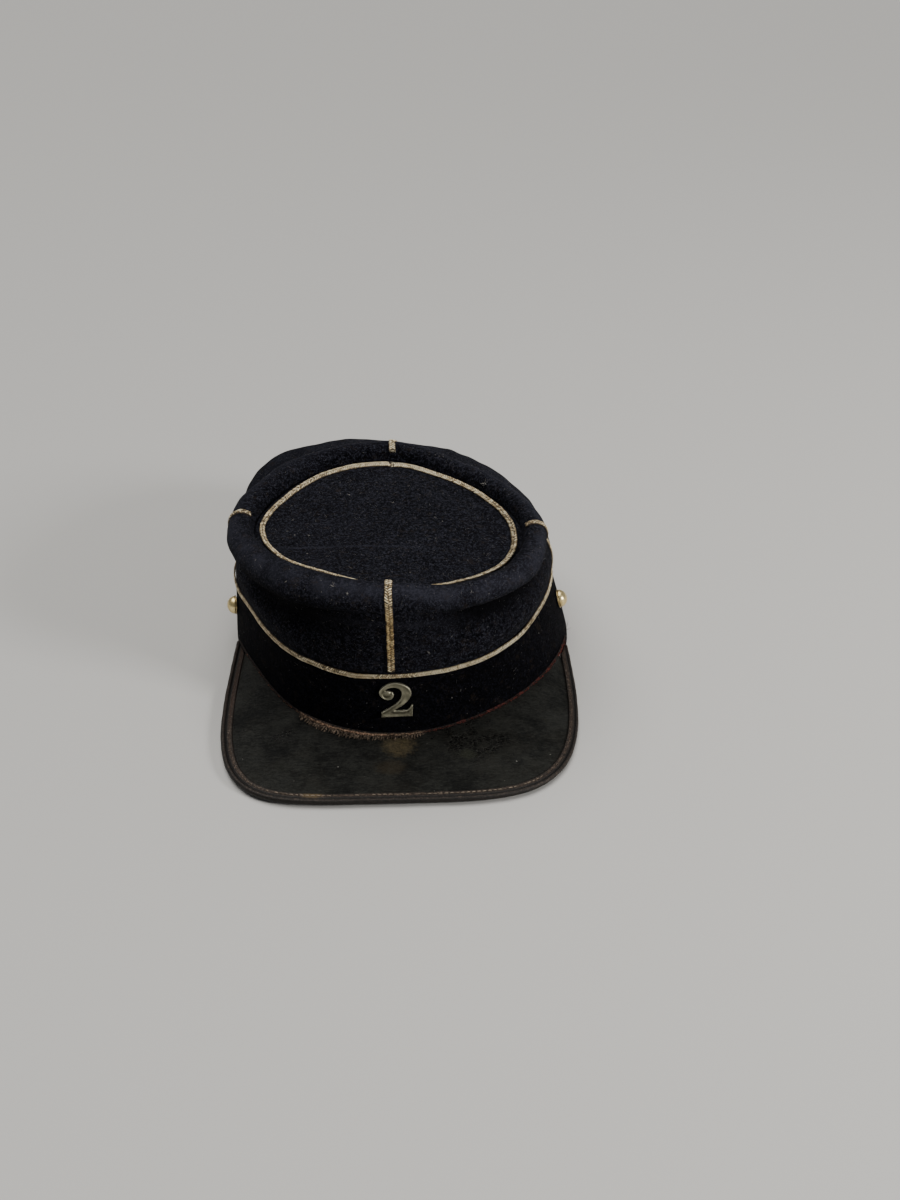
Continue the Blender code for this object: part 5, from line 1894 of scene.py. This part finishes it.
def make_binding_leather():
    """Black on the roll, rubbed brown on the ridge, and painted shade in the valley and at the flap's inner
    edge.
    """
    leather, place = new_material("binding_hide", Specular_IOR_Level=0.22)
    ridge = stored(place, "ridge")
    grain = noise(place, 1900, 4, 0.68, 0.5)
    colour = blend(between(grain, 0.36, 0.66), (0.0045, 0.0040, 0.0038), (0.0200, 0.0165, 0.0140))
    brown = blend(between(grain, 0.38, 0.62), (0.013, 0.009, 0.007), (0.056, 0.040, 0.029))
    paler = ridge * between(patches(place, 300, 0.47, 0.16), 0, 1, 0.35, 1)
    flecks = patches(place, 850, 0.57, 0.05) * ridge
    reddened = spot(place, (-86, -45, 4), (22, 60, 30), 0.4) * ridge * 0.7
    tips = spot(place, (-82, -13, 4.5), (7, 10, 12), 0.6)
    tips = tips.maths("MAXIMUM", spot(place, (81, -27, 4.5), (6, 9, 12), 0.6))
    ochre = spot(place, (-37.5, -136.1, 4), (6, 3, 8), 1)
    colour = layered(
        colour,
        (paler, brown),
        (flecks * 0.60, (0.21, 0.155, 0.12)),
        (reddened.maths("MAXIMUM", tips * 0.55), (0.026, 0.012, 0.008)),
        (ochre * 0.45, (0.16, 0.11, 0.05)),
        # Painted shade in the valley of the fold and along the flap's inner edge.
        (stored(place, "valley_shade") * 0.85, (0.0028, 0.0024, 0.0022)),
    )
    return finished(leather, colour, between(grain, 0.35, 0.65, 0.60, 0.42), bump(grain, 0.5, 0.0004))


def make_thread():
    """Pale linen thread, browner in places and almost black-brown at the two sides of the peak."""
    thread, place = new_material("linen_thread", Specular_IOR_Level=0.3)
    dirt = noise(place, 160, 3)
    clean = between(dirt, 0.40, 0.62) + stored(place, "tone") * 0.4
    colour = blend(clean, (0.045, 0.032, 0.024), (0.27, 0.22, 0.165))
    sideways = Wire(add_node(place.tree, "SeparateXYZ", {"Vector": place}), "X").maths("ABSOLUTE", 0)
    colour = blend(between(sideways, 0.045, 0.072, 0, 0.8), colour, (0.034, 0.017, 0.012))
    normal = bump(noise(place, 3500, 2), 0.4, 0.0002)
    return finished(thread, colour, between(dirt, 0.3, 0.7, 0.9, 0.75), normal)


binding_hide, linen_thread = make_binding_leather(), make_thread()
print("binding ready")

# %% Seam, fibres and lint


def make_seam_leather():
    """Orange-brown above, grey-brown below, red on the right; darker where it isn't torn."""
    leather, place = new_material("torn_hide", Specular_IOR_Level=0.25)
    fibre = noise(place, 1600, 4, 0.72, 0.8)
    light = between(fibre, 0.42, 0.60)
    shreds = blend(light, (0.006, 0.005, 0.004), (0.19, 0.140, 0.100))
    edge = blend(light, (0.080, 0.040, 0.024), (0.50, 0.32, 0.21))
    ragged = blend(stored(place, "upper") * patches(place, 190, 0.45, 0.10), shreds, edge)
    ragged = blend(stored(place, "cloth") * 0.9, ragged, (0.0035, 0.003, 0.004))
    plain = blend(light, (0.003, 0.0025, 0.0025), (0.020, 0.012, 0.009))
    red = blend(light, (0.008, 0.003, 0.003), (0.105, 0.025, 0.020))
    plain = blend(stored(place, "red") * patches(place, 230, 0.52, 0.06), plain, red)
    colour = blend(stored(place, "torn"), plain, ragged)
    return finished(leather, colour, between(fibre, 0.3, 0.7, 0.95, 0.75), bump(fibre, 0.6, 0.0005))


def make_fibre_leather():
    """Single fibres: grey-brown at tone 0, red at tone 1."""
    leather, place = new_material("leather_fibre", Specular_IOR_Level=0.25)
    speckle = between(noise(place, 700, 3), 0.38, 0.62)
    brown = blend(speckle, (0.040, 0.028, 0.020), (0.24, 0.17, 0.11))
    red = blend(speckle, (0.045, 0.008, 0.007), (0.26, 0.052, 0.036))
    colour = blend(between(stored(place, "tone"), 0.35, 0.85), brown, red)
    return finished(leather, colour, between(speckle, 0, 1, 0.95, 0.8))


def make_lint_fibre():
    """Lint from grey-brown at tone 0 to nearly white at tone 1."""
    lint, place = new_material("pale_lint", Specular_IOR_Level=0.3)
    dust = noise(place, 300, 2)
    colour = blend(stored(place, "tone") + (dust - 0.5), (0.070, 0.068, 0.075), (0.50, 0.47, 0.42))
    return finished(lint, colour, between(dust, 0.3, 0.7, 0.95, 0.8))


def make_dark_thread():
    """Black cotton thread, a little brown."""
    cotton, place = new_material("black_thread", Specular_IOR_Level=0.3)
    twist = noise(place, 2200, 2)
    colour = blend(between(twist, 0.35, 0.65), (0.006, 0.005, 0.005), (0.028, 0.021, 0.019))
    return finished(cotton, colour, between(twist, 0.3, 0.7, 0.9, 0.75), bump(twist, 0.4, 0.0002))


torn_hide, leather_fibre = make_seam_leather(), make_fibre_leather()
pale_lint, black_thread = make_lint_fibre(), make_dark_thread()
print("seam and lint ready")

# %% [markdown]
# ## Brass and white metal
#
# The buttons are brass with a soft satin polish, darker at the foot where polish never reached.
# The figure is a nickel-like white metal that has gone olive-grey; its filed edge is painted bright as a
# highlight.
# Both get a fine noise in the roughness, since even clean metal is never equally smooth.

# %% Metals


def make_brass():
    """Satin brass: finely scratched, with dark tarnish at the rim."""
    brass, place = new_material("button_brass", Metallic=0.88)
    cloud = noise(place, 260, 4, 0.6)
    colour = blend(between(cloud, 0.38, 0.62), (0.72, 0.56, 0.26), (0.94, 0.78, 0.42))
    colour = blend(stored(place, "rim") * 0.60, colour, (0.16, 0.105, 0.050))
    scratch = noise(stretched(place, (1, 1, 0.15), (0.3, 0.4, 0)), 2600, 3, 0.6)
    return finished(brass, colour, between(cloud, 0.35, 0.65, 0.36, 0.26), bump(scratch, 0.12, 0.0002))


def make_white_metal():
    """Olive-grey white metal, darker in patches, with a painted highlight along the edge."""
    metal, place = new_material("white_metal", Metallic=1)
    cloud = noise(place, 190, 4, 0.62)
    colour = blend(between(cloud, 0.36, 0.64), (0.21, 0.20, 0.140), (0.36, 0.345, 0.245))
    # Painted highlight: the metal is paler near the outline, where the rounded edge would catch the light.
    colour = blend(stored(place, "edge") * 0.50, colour, (0.78, 0.74, 0.58))
    colour = blend(patches(place, 700, 0.60, 0.06) * 0.5, colour, (0.09, 0.085, 0.06))
    brushed = noise(stretched(place, (0.12, 1, 1)), 3000, 3, 0.6)
    return finished(metal, colour, between(cloud, 0.35, 0.65, 0.46, 0.34), bump(brushed, 0.18, 0.0002))


button_brass, white_metal = make_brass(), make_white_metal()
print("metals ready")

# %% [markdown]
# ## Dressing the pieces
#
# Each piece gets its finish. The table also names the slot in the cap's record that each piece
# belongs to, which the loop does not use.

# %% Finishes and slots
FINISHES = [              # material, slot and pieces
    (crown_wool, "navy_cloth", ["crown_cloth", "top_cloth"]),
    (shaded_band_wool, "navy_cloth", ["band_cloth"]),
    (braid_metal, "metallic_braid",
     ["ring_plait", "front_plait", "back_plait", "left_plait", "right_plait", "oval_plait"]),
    (peak_hide, "peak_leather", ["peak_leather_sheet"]),
    (binding_hide, "binding_leather", ["binding_fold"]),
    (linen_thread, "binding_leather", ["binding_thread"]),
    (torn_hide, "worn_seam", ["seam_welt"]),
    (leather_fibre, "worn_seam", ["seam_fibres"]),
    (button_brass, "button_brass", ["left_button_dome", "right_button_dome"]),
    (white_metal, "white_metal", ["figure_plate"]),
    (pale_lint, "navy_cloth", ["lint_hairs"]),
    (black_thread, "navy_cloth", ["thread_end"]),
]
for material, slot, names in FINISHES:
    for name in names:
        piece = bpy.data.objects[name]
        piece.data.materials.append(material)
print(sum(len(names) for _, _, names in FINISHES), "pieces finished")
